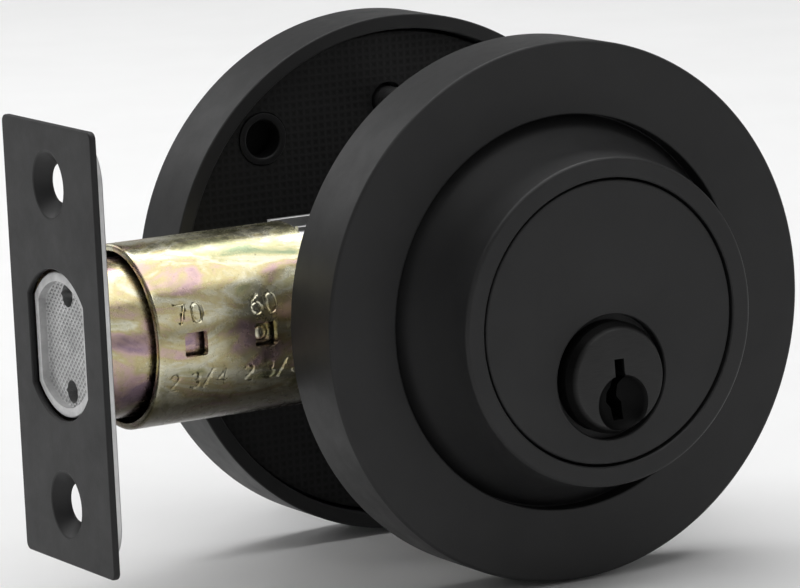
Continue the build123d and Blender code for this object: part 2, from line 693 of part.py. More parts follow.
TIE_START_Y = POST_FRONT_Y + 2.0
with BuildPart() as tie_screws:
    with BuildSketch(facing(TIE_START_Y)):
        with Locations((0, TIE_Z), (0, -TIE_Z)):
            Circle(TIE_R)
    extrude(amount=-(INNER_Y - TIE_START_Y))
    with Locations(*[Location((0, INNER_Y - TIE_HEAD / 2, z), (-90, 0, 0)) for z in (-TIE_Z, TIE_Z)]):
        Cone(bottom_radius=TIE_R, top_radius=TIE_HEAD_R, height=TIE_HEAD)
    for z in (-TIE_Z, TIE_Z):
        with BuildSketch(facing(INNER_Y)):
            with Locations((0, z)):
                Rectangle(*TIE_SLOT)
                Rectangle(*reversed(TIE_SLOT))
        extrude(amount=TIE_SLOT_DEPTH, mode=Mode.SUBTRACT)
save(tie_screws, "tie_screws")

FLANGE_R = BUSHING_R + 1.2
FLANGE_Y = INNER_Y - FACE_T - 0.6
with BuildPart() as spindle_bushing:
    turned(
        [
            (SPINDLE_R + RUN, FLANGE_Y),
            (FLANGE_R, FLANGE_Y),
            (FLANGE_R, INNER_Y - FACE_T),
            (BUSHING_R, INNER_Y - FACE_T),
            (BUSHING_R, INNER_Y),
            (SPINDLE_R + RUN, INNER_Y),
        ],
        z=-DROP,
    )
save(spindle_bushing, "spindle_bushing")

GROOVE_R = 4.3
CLIP_R, CLIP_MOUTH = 7.4, 5.0
CLIP_T = 0.8
WASHER_T = 0.3
CLIP_FRONT_Y = FLANGE_Y - 2 * RUN - WASHER_T - RUN - CLIP_T
SPINDLE_BACK_Y, SPINDLE_END_Y = PLATE_Y + MOUNT_T - 1.0, INNER_Y + 6.0
with BuildPart() as spindle:
    turned(
        [
            (0, SPINDLE_BACK_Y),
            (SPINDLE_R, SPINDLE_BACK_Y),
            (SPINDLE_R, CLIP_FRONT_Y - RUN),
            (GROOVE_R, CLIP_FRONT_Y - RUN),
            (GROOVE_R, CLIP_FRONT_Y + CLIP_T + RUN),
            (SPINDLE_R, CLIP_FRONT_Y + CLIP_T + RUN),
            (SPINDLE_R, SPINDLE_END_Y),
            (0, SPINDLE_END_Y),
        ],
        z=-DROP,
    )
    with BuildSketch(facing(SPINDLE_BACK_Y)):
        with Locations((0, -DROP)):
            Rectangle(TAILPIECE[0] + 2 * SLOT_CLEARANCE, TAILPIECE[1] + 2 * SLOT_CLEARANCE)
    extrude(amount=-(TAIL_END_Y + 1.0 - SPINDLE_BACK_Y), mode=Mode.SUBTRACT)
save(spindle, "spindle")

with BuildPart() as spindle_clip:
    with BuildSketch(facing(CLIP_FRONT_Y)):
        with Locations((0, -DROP)):
            Circle(CLIP_R)
            Circle(GROOVE_R + RUN, mode=Mode.SUBTRACT)
        with Locations((0, -DROP + 6)):
            Rectangle(CLIP_MOUTH, 8.0, mode=Mode.SUBTRACT)
    extrude(amount=-CLIP_T)
save(spindle_clip, "spindle_clip")

WASHER_R = 7.6
WASHER_Y = CLIP_FRONT_Y + CLIP_T + RUN
with BuildPart() as wave_washer:
    ring(WASHER_R, SPINDLE_R + 0.15, WASHER_Y, WASHER_Y + WASHER_T, z=-DROP)
save(wave_washer, "wave_washer")

KNOB_Y = INNER_Y + 0.3
KNOB_BASE_R, KNOB_BASE_T, KNOB_NECK_R = 9.0, 3.0, 7.0
PADDLE_FOOT = 0.3  # half the paddle's height where it leaves the base, as a share of its full height
PADDLE_FLARE = 4.0
SOCKET_Y = SPINDLE_END_Y + 0.3
SET_SCREW_R = 1.5
SET_SCREW_Y = INNER_Y + 4.0
SET_SCREW_LENGTH = 2.2
SET_SCREW_SOCKET = (0.75, 1.4)
with BuildPart() as thumbturn:
    turned(
        [
            (0, KNOB_Y),
            (KNOB_BASE_R, KNOB_Y),
            (KNOB_BASE_R, KNOB_Y + KNOB_BASE_T),
            (KNOB_NECK_R, KNOB_Y + 2 * KNOB_BASE_T),
            (0, KNOB_Y + 2 * KNOB_BASE_T),
        ],
        {2: 1.0, 3: 1.0},
        z=-DROP,
    )
    with BuildSketch(Plane.YZ.offset(-LEVER[0] / 2)):
        with BuildLine():
            base_y, tip_y = KNOB_Y + KNOB_BASE_T, KNOB_Y + KNOB_BASE_T + LEVER[2]
            Polyline(
                (base_y, -DROP - LEVER[1] * PADDLE_FOOT),
                (base_y + PADDLE_FLARE, -DROP - LEVER[1] / 2),
                (tip_y, -DROP - LEVER[1] / 2),
                (tip_y, -DROP + LEVER[1] / 2),
                (base_y + PADDLE_FLARE, -DROP + LEVER[1] / 2),
                (base_y, -DROP + LEVER[1] * PADDLE_FOOT),
                close=True,
            )
        make_face()
    extrude(amount=LEVER[0])
    corners = thumbturn.edges().filter_by(Axis.X).group_by(Axis.Y)
    fillet(corners[-1], 5.0)
    with BuildSketch(facing(KNOB_Y)):
        with Locations((0, -DROP)):
            Circle(SPINDLE_R)
    extrude(amount=-(SOCKET_Y - KNOB_Y), mode=Mode.SUBTRACT)
    with BuildSketch(Plane.YZ):
        with Locations((SET_SCREW_Y, -DROP)):
            Circle(SET_SCREW_R)
    extrude(amount=2 * KNOB_BASE_R, mode=Mode.SUBTRACT)
save(thumbturn, "thumbturn")

with BuildPart() as thumbturn_set_screw:
    with BuildSketch(Plane.YZ.offset(SPINDLE_R)):
        with Locations((SET_SCREW_Y, -DROP)):
            Circle(SET_SCREW_R)
    extrude(amount=SET_SCREW_LENGTH)
    with BuildSketch(Plane.YZ.offset(SPINDLE_R + SET_SCREW_LENGTH)):
        with Locations((SET_SCREW_Y, -DROP)):
            RegularPolygon(SET_SCREW_SOCKET[0], 6)
    extrude(amount=-SET_SCREW_SOCKET[1], mode=Mode.SUBTRACT)
save(thumbturn_set_screw, "thumbturn_set_screw")
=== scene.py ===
import json
import math

import bmesh
import bpy
from mathutils import Matrix, Vector
from mathutils.geometry import tessellate_polygon


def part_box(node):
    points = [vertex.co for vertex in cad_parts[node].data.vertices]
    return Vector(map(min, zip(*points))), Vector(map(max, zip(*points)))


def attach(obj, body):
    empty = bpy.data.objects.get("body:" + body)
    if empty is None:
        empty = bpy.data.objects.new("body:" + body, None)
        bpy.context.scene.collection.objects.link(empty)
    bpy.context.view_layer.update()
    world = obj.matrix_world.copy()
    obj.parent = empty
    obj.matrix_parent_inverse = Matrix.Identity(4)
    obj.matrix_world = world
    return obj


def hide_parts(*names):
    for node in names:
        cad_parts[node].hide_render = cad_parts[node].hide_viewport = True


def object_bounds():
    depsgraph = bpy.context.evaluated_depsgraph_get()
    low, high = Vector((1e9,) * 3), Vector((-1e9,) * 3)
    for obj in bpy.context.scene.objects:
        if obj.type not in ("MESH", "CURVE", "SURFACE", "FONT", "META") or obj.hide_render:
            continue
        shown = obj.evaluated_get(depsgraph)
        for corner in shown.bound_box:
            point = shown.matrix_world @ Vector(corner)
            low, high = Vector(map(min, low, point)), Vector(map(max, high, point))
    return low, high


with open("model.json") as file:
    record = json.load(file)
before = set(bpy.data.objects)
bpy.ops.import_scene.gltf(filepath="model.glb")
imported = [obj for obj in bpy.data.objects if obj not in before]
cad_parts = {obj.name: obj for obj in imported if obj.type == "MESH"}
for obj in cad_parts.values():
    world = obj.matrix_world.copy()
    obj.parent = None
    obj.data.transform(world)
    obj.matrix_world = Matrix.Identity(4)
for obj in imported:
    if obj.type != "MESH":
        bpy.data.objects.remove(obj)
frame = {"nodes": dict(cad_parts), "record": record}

MM = 0.001
CAD_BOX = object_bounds()
RECORD = frame["record"]
BODY_OF = {node: body for body, nodes in RECORD["behaviour"]["bodies"].items() for node in nodes}
ROUND = 160  # facets of a large circle


# ---------------------------------------------------------------- outlines
def span(node):
    """A CAD node's lowest and highest corner in millimetres: (x0, y0, z0), (x1, y1, z1)."""
    low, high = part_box(node)
    return low / MM, high / MM


def arc(centre, radius, start, end, steps):
    """Points on an arc, angles in degrees, both ends included."""
    angles = [math.radians(start + (end - start) * k / steps) for k in range(steps + 1)]
    return [(centre[0] + radius * math.cos(a), centre[1] + radius * math.sin(a)) for a in angles]


def circle(centre, radius, steps=64):
    """A closed circle's points."""
    return arc(centre, radius, 0, 360, steps)[:-1]


def rounded(points, radii, steps=4):
    """A closed outline with some corners turned into arcs; radii is {corner number: radius}."""
    result = []
    for number, point in enumerate(points):
        corner = Vector(point)
        radius = radii.get(number, 0)
        if not radius:
            result.append(tuple(point))
            continue
        before = (Vector(points[number - 1]) - corner).normalized()
        after = (Vector(points[(number + 1) % len(points)]) - corner).normalized()
        half = before.angle(after) / 2
        centre = corner + (before + after).normalized() * radius / math.sin(half)
        first = corner + before * radius / math.tan(half) - centre
        last = corner + after * radius / math.tan(half) - centre
        turn = first.angle_signed(last)
        for k in range(steps + 1):
            spoke = first.copy()
            spoke.rotate(Matrix.Rotation(-turn * k / steps, 2))
            result.append(tuple(centre + spoke))
    return result


def rectangle(low, high, radius=0.0, steps=6):
    """A rectangle between two corners, with all its corners rounded alike."""
    points = [(low[0], low[1]), (high[0], low[1]), (high[0], high[1]), (low[0], high[1])]
    return rounded(points, {k: radius for k in range(4)}, steps) if radius else points


def double_d(radius, width, steps=24):
    """A circle cut by two flats at plus and minus half the width, the bolt's section."""
    edge = math.degrees(math.acos(width / 2 / radius))
    return arc((0, 0), radius, edge, 180 - edge, steps) + arc((0, 0), radius, 180 + edge, 360 - edge, steps)


# ---------------------------------------------------------------- solids, as (points, faces)
def placed(axis, u, v, w):
    """A point from two cross coordinates and one along the axis."""
    return {"X": (w, u, v), "Y": (u, w, v), "Z": (u, v, w)}[axis]


def lathe(outline, centre=(0, 0), axis="Y", steps=ROUND):
    """Turns a closed outline of (radius, position along the axis) about an axis through centre."""
    points = []
    for k in range(steps):
        angle = 2 * math.pi * k / steps
        for radius, along in outline:
            u = centre[0] + radius * math.cos(angle)
            v = centre[1] + radius * math.sin(angle)
            points.append(placed(axis, u, v, along))
    count = len(outline)
    faces = []
    for k in range(steps):
        here, there = k * count, (k + 1) % steps * count
        for i in range(count):
            j = (i + 1) % count
            faces.append((here + i, here + j, there + j, there + i))
    return points, faces


def area(loop):
    """Signed area of a closed loop."""
    pairs = zip(loop, loop[1:] + loop[:1])
    return sum(a[0] * b[1] - b[0] * a[1] for a, b in pairs) / 2


def inset(loop, distance):
    """The loop moved sideways to its left by a distance."""
    moved = []
    for k, point in enumerate(loop):
        here = Vector(point)
        before = (here - Vector(loop[k - 1])).normalized()
        after = (Vector(loop[(k + 1) % len(loop)]) - here).normalized()
        side = Vector((-before.y - after.y, before.x + after.x))
        side = side.normalized() if side.length > 1e-6 else Vector((-before.y, before.x))
        stretch = max(side.dot(Vector((-before.y, before.x))), 0.4)
        moved.append(tuple(here + side * distance / stretch))
    return moved


def slab(outer, holes, low, high, axis, bevel=0.12, steps=3):
    """A flat plate between low and high on the axis, with holes and rounded edges."""
    loops = [outer if area(outer) > 0 else outer[::-1]]
    loops += [hole if area(hole) < 0 else hole[::-1] for hole in holes]
    bevel = min(bevel, (high - low) * 0.45)
    levels = []
    for k in range(steps + 1):
        angle = math.pi / 2 * k / steps
        levels.append((bevel * (1 - math.sin(angle)), low + bevel * (1 - math.cos(angle))))
    levels += [(move, low + high - height) for move, height in reversed(levels)]
    points, faces, rims = [], [], []
    for loop in loops:
        start = len(points)
        for move, height in levels:
            points += [placed(axis, u, v, height) for u, v in inset(loop, move)]
        count = len(loop)
        for level in range(len(levels) - 1):
            for i in range(count):
                j = (i + 1) % count
                a, b = start + level * count, start + (level + 1) * count
                faces.append((a + i, a + j, b + j, b + i))
        rims.append((start, start + (len(levels) - 1) * count, count))
    flat = [[Vector((u, v, 0)) for u, v in inset(loop, bevel)] for loop in loops]
    for end in (0, 1):
        index = [rim[end] + i for rim in rims for i in range(rim[2])]
        faces += [tuple(index[i] for i in triangle) for triangle in tessellate_polygon(flat)]
    return points, faces


def screw_thread(centre, radius, low, high, pitch=0.7, depth=0.3, steps=28):
    """A rod along Y with a real helical thread."""
    rings = int((high - low) / pitch * 6)
    points = [(centre[0], low, centre[1]), (centre[0], high, centre[1])]
    for ring in range(rings + 1):
        along = low + (high - low) * ring / rings
        for k in range(steps):
            phase = ((along - low) / pitch - k / steps) % 1
            cut = depth * abs(2 * phase - 1) ** 1.3
            angle = 2 * math.pi * k / steps
            x = centre[0] + (radius - cut) * math.cos(angle)
            z = centre[1] + (radius - cut) * math.sin(angle)
            points.append((x, along, z))
    faces = []
    for ring in range(rings):
        for k in range(steps):
            a, b = 2 + ring * steps, 2 + (ring + 1) * steps
            faces.append((a + k, a + (k + 1) % steps, b + (k + 1) % steps, b + k))
    for k in range(steps):
        faces.append((0, 2 + (k + 1) % steps, 2 + k))
        last = 2 + rings * steps
        faces.append((1, last + k, last + (k + 1) % steps))
    return points, faces


def disc(radius, low, high, centre=(0, 0), axis="Y", edges=(0.1, 0.1), bore=0.0, steps=48):
    """A turned disc or, with a bore, a ring; edges are the roundings of its two outer rims."""
    outline = [(bore, low), (radius, low), (radius, high), (bore, high)]
    return lathe(rounded(outline, {1: edges[0], 2: edges[1]}, 3), centre, axis, steps)


# ---------------------------------------------------------------- pieces
def mesh_of(name, solids):
    """One mesh from some solids, welded and with its faces turned outwards."""
    work = bmesh.new()
    for points, faces in solids:
        made = [work.verts.new(Vector(point) * MM) for point in points]
        for face in faces:
            corners = [made[i] for i in face]
            if len(set(corners)) == len(corners):
                work.faces.new(corners)
    bmesh.ops.remove_doubles(work, verts=work.verts, dist=1e-7)
    bmesh.ops.dissolve_degenerate(work, dist=1e-8, edges=work.edges)
    bmesh.ops.recalc_face_normals(work, faces=work.faces)
    mesh = bpy.data.meshes.new(name)
    work.to_mesh(mesh)
    work.free()
    return mesh


def new_object(name, mesh):
    """An object in the scene with that mesh."""
    made = bpy.data.objects.new(name, mesh)
    bpy.context.scene.collection.objects.link(made)
    return made


def applied(piece):
    """Turns the piece's modifiers into its mesh."""
    graph = bpy.context.evaluated_depsgraph_get()
    mesh = bpy.data.meshes.new_from_object(piece.evaluated_get(graph))
    piece.modifiers.clear()
    piece.data = mesh


def combine(piece, solids, operation="DIFFERENCE", solver="EXACT"):
    """Cuts the solids out of the piece, or keeps only what lies in them."""
    tool = new_object(piece.name + "_tool", mesh_of(piece.name + "_tool", solids))
    change = piece.modifiers.new("combine", "BOOLEAN")
    change.operation = operation
    change.solver = solver
    change.use_self = len(solids) > 1
    change.object = tool
    applied(piece)
    bpy.data.objects.remove(tool)


def smooth(piece, angle=34):
    """Smooth shading with crisp edges where faces meet at more than the angle."""
    piece.data.polygons.foreach_set("use_smooth", [True] * len(piece.data.polygons))
    piece.data.set_sharp_from_angle(angle=math.radians(angle))


def even_normals(piece):
    """Weighs the piece's normals by face area, so that large faces stay flat."""
    weigh = piece.modifiers.new("normals", "WEIGHTED_NORMAL")
    weigh.keep_sharp = True


def make(name, solids, material, node, cuts=(), angle=34):
    """A finished piece on the CAD node's body, standing for the node."""
    piece = new_object(name, mesh_of(name, solids))
    if cuts:
        combine(piece, list(cuts))
    piece.data.materials.clear()
    piece.data.materials.append(material)
    smooth(piece, angle)
    even_normals(piece)
    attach(piece, BODY_OF[node])
    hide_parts(node)
    return piece


def dress(node, material, angle=34):
    """Gives a CAD node that keeps its own shape a finished material and smooth shading."""
    piece = frame["nodes"][node]
    piece.data.materials.clear()
    piece.data.materials.append(material)
    smooth(piece, angle)


# ---------------------------------------------------------------- materials
def add(tree, kind, inputs=None, **settings):
    """Adds a node, with settings and with inputs that are values or other nodes' outputs."""
    node = tree.nodes.new(kind)
    for key, value in settings.items():
        setattr(node, key, value)
    for key, value in (inputs or {}).items():
        if isinstance(value, bpy.types.NodeSocket):
            tree.links.new(value, node.inputs[key])
        else:
            node.inputs[key].default_value = value
    return node


def start(name, **shader_values):
    """A new material: its node tree, and its shader with plain values set on the shader's own sockets."""
    material = bpy.data.materials.new(name)
    material.use_nodes = True
    tree = material.node_tree
    shader = next(node for node in tree.nodes if node.type == "BSDF_PRINCIPLED")
    for key, value in shader_values.items():
        shader.inputs[key.replace("_", " ")].default_value = value
    return material, tree, shader


def place(tree, scale=(1, 1, 1), rotation=(0, 0, 0)):
    """Coordinates fixed to the piece, in metres, stretched by the scale."""
    source = add(tree, "ShaderNodeTexCoord")
    mapping = add(tree, "ShaderNodeMapping", {"Vector": source.outputs["Object"]})
    mapping.inputs["Scale"].default_value = scale
    mapping.inputs["Rotation"].default_value = rotation
    return mapping.outputs["Vector"]


def noise(tree, where, scale, detail=3.0, rough=0.5, warp=0.0):
    """A noise value from 0 to 1."""
    inputs = {"Vector": where, "Scale": scale, "Detail": detail, "Roughness": rough, "Distortion": warp}
    return add(tree, "ShaderNodeTexNoise", inputs).outputs["Fac"]


def ramp(tree, value, stops):
    """Colours along a value: stops are (position, (r, g, b)) or (position, grey)."""
    node = add(tree, "ShaderNodeValToRGB", {"Fac": value})
    points = node.color_ramp.elements
    while len(points) < len(stops):
        points.new(0.5)
    for point, (position, colour) in zip(points, stops):
        point.position = position
        rgb = colour if isinstance(colour, tuple) else (colour, colour, colour)
        point.color = (*rgb, 1.0)
    return node.outputs["Color"]


def mixed(tree, amount, first, second, how="MIX"):
    """Two colours mixed."""
    node = add(tree, "ShaderNodeMix", data_type="RGBA", blend_type=how)
    for key, value in (("Factor", amount), ("A", first), ("B", second)):
        socket = next(s for s in node.inputs if s.name == key and s.type in ("VALUE", "RGBA") and s.enabled)
        if isinstance(value, bpy.types.NodeSocket):
            tree.links.new(value, socket)
        else:
            socket.default_value = value if key == "Factor" else (*value, 1.0)
    return next(s for s in node.outputs if s.enabled)


def maths(tree, operation, first, second=0.0):
    """One arithmetic step."""
    return add(tree, "ShaderNodeMath", {0: first, 1: second}, operation=operation).outputs[0]


def bump(tree, shader, height, depth, strength=1.0):
    """Relief on the surface; depth is in millimetres."""
    inputs = {"Height": height, "Distance": depth * MM, "Strength": strength}
    tree.links.new(add(tree, "ShaderNodeBump", inputs).outputs["Normal"], shader.inputs["Normal"])


DEPTH_SCALE = 500.0  # turns a depth in metres into a ramp's 0 to 1 for the painted shade in the plug's holes, reached 2 mm below the plug's face
UNDERSIDE_SHADE_SCALE = 40.0  # turns a height in metres into a ramp's steps for the painted shade on a tube's underside


def black_coat(name="black_coat", light=(0.0180, 0.0180, 0.0184), dark=(0.0140, 0.0140, 0.0144)):
    """Satin black powder coat: fine orange-peel relief, faint patches and dust that changes the gloss."""
    material, tree, shader = start(name, Metallic=0.0, Specular_IOR_Level=0.3)
    where = place(tree)
    patches = noise(tree, where, 90, 4, 0.6)
    grain = noise(tree, where, 2600, 2, 0.5)
    tree.links.new(ramp(tree, patches, [(0.3, dark), (0.7, light)]), shader.inputs["Base Color"])
    wear = noise(tree, where, 260, 5, 0.65)
    tree.links.new(ramp(tree, wear, [(0.25, 0.42), (0.75, 0.55)]), shader.inputs["Roughness"])
    bump(tree, shader, grain, 0.012, 0.5)
    return material


def plug_metal():
    """The plug's dark plating: fine turning marks on its face, and painted shade that darkens the holes below
    it and dims their reflections.
    """
    material, tree, shader = start("plug_metal", Metallic=0.25, Specular_IOR_Level=0.35)
    where = place(tree)
    marks = noise(tree, place(tree, (1, 1, 22)), 420, 3, 0.6)
    # painted shade: colour and specular level fall with depth below the plug's face
    depth = add(tree, "ShaderNodeSeparateXYZ", {"Vector": where}).outputs["Y"]
    depth = maths(tree, "MULTIPLY", maths(tree, "SUBTRACT", depth, PLUG_Y * MM), DEPTH_SCALE)
    face = ramp(tree, depth, [(0.08, 1.0), (0.35, 0.16)])
    shade = ramp(tree, marks, [(0.3, 0.016), (0.72, 0.026)])
    tree.links.new(mixed(tree, 1.0, shade, face, "MULTIPLY"), shader.inputs["Base Color"])
    tree.links.new(ramp(tree, depth, [(0.08, 0.30), (0.35, 0.08)]), shader.inputs["Specular IOR Level"])
    wear = noise(tree, where, 500, 4)
    tree.links.new(ramp(tree, wear, [(0.3, 0.38), (0.7, 0.5)]), shader.inputs["Roughness"])
    bump(tree, shader, marks, 0.006, 0.5)
    return material


def yellow_zinc(name, seed, pinker=0.0):
    """Yellow chromated zinc: a film of cream, yellow and pink over drawn metal, with painted shade darkening
    its underside.
    """
    material, tree, shader = start(name, Metallic=1.0)
    where = place(tree, (1, 1, 1), (0, 0, seed))
    film = noise(tree, place(tree, (0.6, 1.0, 1.2), (seed, 0, 0)), 150, 4, 0.55, 0.9)
    shift = noise(tree, where, 480, 4, 0.6)
    value = maths(tree, "ADD", film, maths(tree, "MULTIPLY", maths(tree, "SUBTRACT", shift, 0.5), 0.16))
    value = maths(tree, "ADD", value, pinker)
    colours = ramp(
        tree,
        value,
        [
            (0.28, (0.26, 0.31, 0.19)),
            (0.38, (0.50, 0.47, 0.27)),
            (0.46, (0.66, 0.64, 0.50)),
            (0.54, (0.52, 0.45, 0.24)),
            (0.62, (0.56, 0.40, 0.38)),
            (0.74, (0.34, 0.24, 0.30)),
        ],
    )
    specks = ramp(tree, noise(tree, where, 2300, 2, 0.7), [(0.26, 0.25), (0.36, 1.0)])
    specked = mixed(tree, 0.55, colours, specks, "MULTIPLY")
    # painted shade: the base colour turns dark on the lower part of the piece, from about 1 mm to 6.5 mm
    # below its axis
    below = add(tree, "ShaderNodeSeparateXYZ", {"Vector": place(tree)}).outputs["Z"]
    blur = maths(tree, "MULTIPLY", shift, 0.12)
    below = maths(tree, "ADD", maths(tree, "MULTIPLY", below, UNDERSIDE_SHADE_SCALE), blur)
    painted_shade, unshaded = (0.14, 0.13, 0.11), (1.0, 1.0, 1.0)
    underside_shade = ramp(tree, maths(tree, "ADD", below, 0.5), [(0.24, painted_shade), (0.46, unshaded)])
    tree.links.new(mixed(tree, 1.0, specked, underside_shade, "MULTIPLY"), shader.inputs["Base Color"])
    lines = noise(tree, place(tree, (0.06, 1, 1)), 2600, 3, 0.6)
    wear = noise(tree, where, 700, 5, 0.6)
    tree.links.new(ramp(tree, wear, [(0.3, 0.20), (0.7, 0.32)]), shader.inputs["Roughness"])
    bump(tree, shader, lines, 0.010, 0.35)
    return material


def clear_zinc():
    """Clear zinc plating on pressed steel: a cool grey metal with soft clouds and fine scratches."""
    material, tree, shader = start("clear_zinc", Metallic=1.0)
    clouds = noise(tree, place(tree), 150, 5, 0.6, 0.4)
    tree.links.new(ramp(tree, clouds, [(0.3, 0.50), (0.7, 0.66)]), shader.inputs["Base Color"])
    scratches = noise(tree, place(tree, (0.15, 1, 1), (0.2, 0.5, 0.1)), 2200, 3, 0.7)
    tree.links.new(ramp(tree, clouds, [(0.3, 0.4), (0.7, 0.3)]), shader.inputs["Roughness"])
    bump(tree, shader, scratches, 0.008, 0.4)
    return material


def turned_steel():
    """Bright steel with turning marks around pins and screws."""
    material, tree, shader = start("turned_steel", Metallic=1.0)
    where = place(tree)
    marks = noise(tree, place(tree, (0.3, 4, 0.3)), 900, 3, 0.6)
    tree.links.new(ramp(tree, marks, [(0.3, 0.42), (0.7, 0.58)]), shader.inputs["Base Color"])
    wear = noise(tree, where, 600, 4)
    tree.links.new(ramp(tree, wear, [(0.3, 0.26), (0.7, 0.4)]), shader.inputs["Roughness"])
    bump(tree, shader, marks, 0.006, 0.4)
    return material


def bolt_steel(name="bolt_steel", dark=0.50, light=0.70):
    """The bolt: dull cast and ground metal with pits."""
    material, tree, shader = start(name, Metallic=0.6)
    where = place(tree)
    clouds = noise(tree, where, 420, 6, 0.65)
    tree.links.new(ramp(tree, clouds, [(0.3, dark), (0.7, light)]), shader.inputs["Base Color"])
    tree.links.new(ramp(tree, clouds, [(0.3, 0.55), (0.7, 0.42)]), shader.inputs["Roughness"])
    bump(tree, shader, noise(tree, where, 1900, 4, 0.7), 0.02, 0.6)
    return material


def brass():
    """Plain brass with faint tarnish."""
    material, tree, shader = start("brass", Metallic=1.0)
    where = place(tree)
    tarnish = noise(tree, where, 300, 5, 0.6)
    colours = [(0.3, (0.50, 0.34, 0.13)), (0.65, (0.80, 0.60, 0.27))]
    tree.links.new(ramp(tree, tarnish, colours), shader.inputs["Base Color"])
    tree.links.new(ramp(tree, tarnish, [(0.3, 0.42), (0.7, 0.26)]), shader.inputs["Roughness"])
    bump(tree, shader, noise(tree, place(tree, (1, 6, 1)), 900), 0.006, 0.4)
    return material


def woven_pad():
    """The pad's moulded weave: two crossed sets of fine ribs with darker patches."""
    material, tree, shader = start("woven_pad", Metallic=0.0, Specular_IOR_Level=0.3)
    where = place(tree)
    ribs = []
    for direction in ("X", "Z"):
        inputs = {"Vector": where, "Scale": 300.0, "Distortion": 0.0}
        wave = add(tree, "ShaderNodeTexWave", inputs, wave_type="BANDS", bands_direction=direction)
        ribs.append(wave.outputs["Fac"])
    weave = maths(tree, "MAXIMUM", *ribs)
    patches = noise(tree, where, 120, 4, 0.6)
    shade = ramp(tree, weave, [(0.2, 0.003), (1.0, 0.011)])
    patchy = mixed(tree, 0.5, shade, ramp(tree, patches, [(0.3, 0.5), (0.7, 1.0)]), "MULTIPLY")
    tree.links.new(patchy, shader.inputs["Base Color"])
    tree.links.new(ramp(tree, patches, [(0.3, 0.6), (0.7, 0.8)]), shader.inputs["Roughness"])
    bump(tree, shader, weave, 0.08, 0.7)
    return material


def nylon():
    """Natural nylon: warm white with a faint moulded grain."""
    material, tree, shader = start("nylon", Subsurface_Weight=0.1)
    where = place(tree)
    tree.links.new(
        ramp(tree, noise(tree, where, 400, 4), [(0.3, (0.72, 0.71, 0.66)), (0.7, (0.80, 0.79, 0.75))]),
        shader.inputs["Base Color"],
    )
    wear = noise(tree, where, 900, 3)
    tree.links.new(ramp(tree, wear, [(0.3, 0.4), (0.7, 0.55)]), shader.inputs["Roughness"])
    bump(tree, shader, noise(tree, where, 1600), 0.01, 0.4)
    return material


COAT = black_coat()
INNER_COAT = black_coat("inner_coat", (0.007, 0.007, 0.0075), (0.004, 0.004, 0.0045))
PLUG_Y = span("key_plug")[0].y
PLUG = plug_metal()
TUBE_ZINC = yellow_zinc("yellow_zinc_tube", 0.7)
COLLAR_ZINC = yellow_zinc("yellow_zinc_front", 2.3, 0.1)
ZINC = clear_zinc()
STEEL = turned_steel()
BOLT = bolt_steel()
KNURL = bolt_steel("bolt_knurl", 0.34, 0.52)
BRASS = brass()
PAD = woven_pad()
NYLON = nylon()

# ---------------------------------------------------------------- shared places
DROP = -7.0  # height of the turning axis below the bolt's centreline
PLUG_AXIS = (0.0, DROP)
TIE_HEIGHTS = (-23.2, 23.2)
(_, OUTER_Y, _), (ROSETTE_R, DOOR_OUT, _) = span("exterior_rosette")
(_, DOOR_IN, _), (_, INNER_Y, _) = span("interior_rosette")
FACE_T = 2.6  # thickness of a rosette's face
RIM = 2.0  # thickness of a rosette's wall
OPENING_R = 25.5  # the exterior rosette's opening
(_, COLLAR_Y, _), (_, COLLAR_BACK, _) = span("cylinder_collar")
COLLAR_R = 21.1
CYLINDER_R = span("cylinder_body")[1].x
CYLINDER_Y, CYLINDER_BACK = span("cylinder_body")[0].y, span("cylinder_body")[1].y
BOSS_CIRCLE = 29.6
BOSS_PLACES = [arc((0, 0), BOSS_CIRCLE, angle, angle, 1)[0] for angle in (90, 210, 330)]


# ---------------------------------------------------------------- exterior side
def exterior_rosette():
    """The outer disc: a shallow cup with a large opening and three screw bosses inside."""
    wall = ROSETTE_R - RIM
    outline = [
        (OPENING_R, OUTER_Y),
        (ROSETTE_R, OUTER_Y),
        (ROSETTE_R, DOOR_OUT),
        (wall, DOOR_OUT),
        (wall, OUTER_Y + FACE_T),
        (OPENING_R, OUTER_Y + FACE_T),
    ]
    cup = lathe(rounded(outline, {0: 0.25, 1: 0.45, 2: 0.25, 3: 0.25, 4: 0.6}), steps=2 * ROUND)
    boss_y = OUTER_Y + FACE_T - 0.2
    bosses = [disc(2.9, boss_y, COLLAR_BACK, spot, bore=1.25, edges=(0, 0.2)) for spot in BOSS_PLACES]
    make("rosette_outside", [cup] + bosses, COAT, "exterior_rosette")


def cylinder_collar():
    """The flared guard ring that stands out of the rosette's opening."""
    flare_y = OUTER_Y + FACE_T
    flare_r = OPENING_R - 0.1
    rounding = 0.5
    rise = flare_y - COLLAR_Y - rounding
    spread = flare_r - COLLAR_R
    sweep = (rise**2 + spread**2) / (2 * spread)
    reach = math.degrees(math.asin(rise / sweep))
    flare = arc((COLLAR_R + sweep, COLLAR_Y + rounding), sweep, 180, 180 - reach, 24)
    lip = arc((COLLAR_R - rounding, COLLAR_Y + rounding), rounding, -90, 0, 6)
    outline = [(18.5, COLLAR_Y + 0.15), (18.65, COLLAR_Y)] + lip[:-1] + flare
    foot_y = flare_y + 2.0
    outline += [(26.4, flare_y), (26.4, foot_y), (21.7, foot_y), (21.7, COLLAR_BACK), (18.5, COLLAR_BACK)]
    make("collar", [lathe(outline, steps=2 * ROUND)], COAT, "cylinder_collar", angle=28)


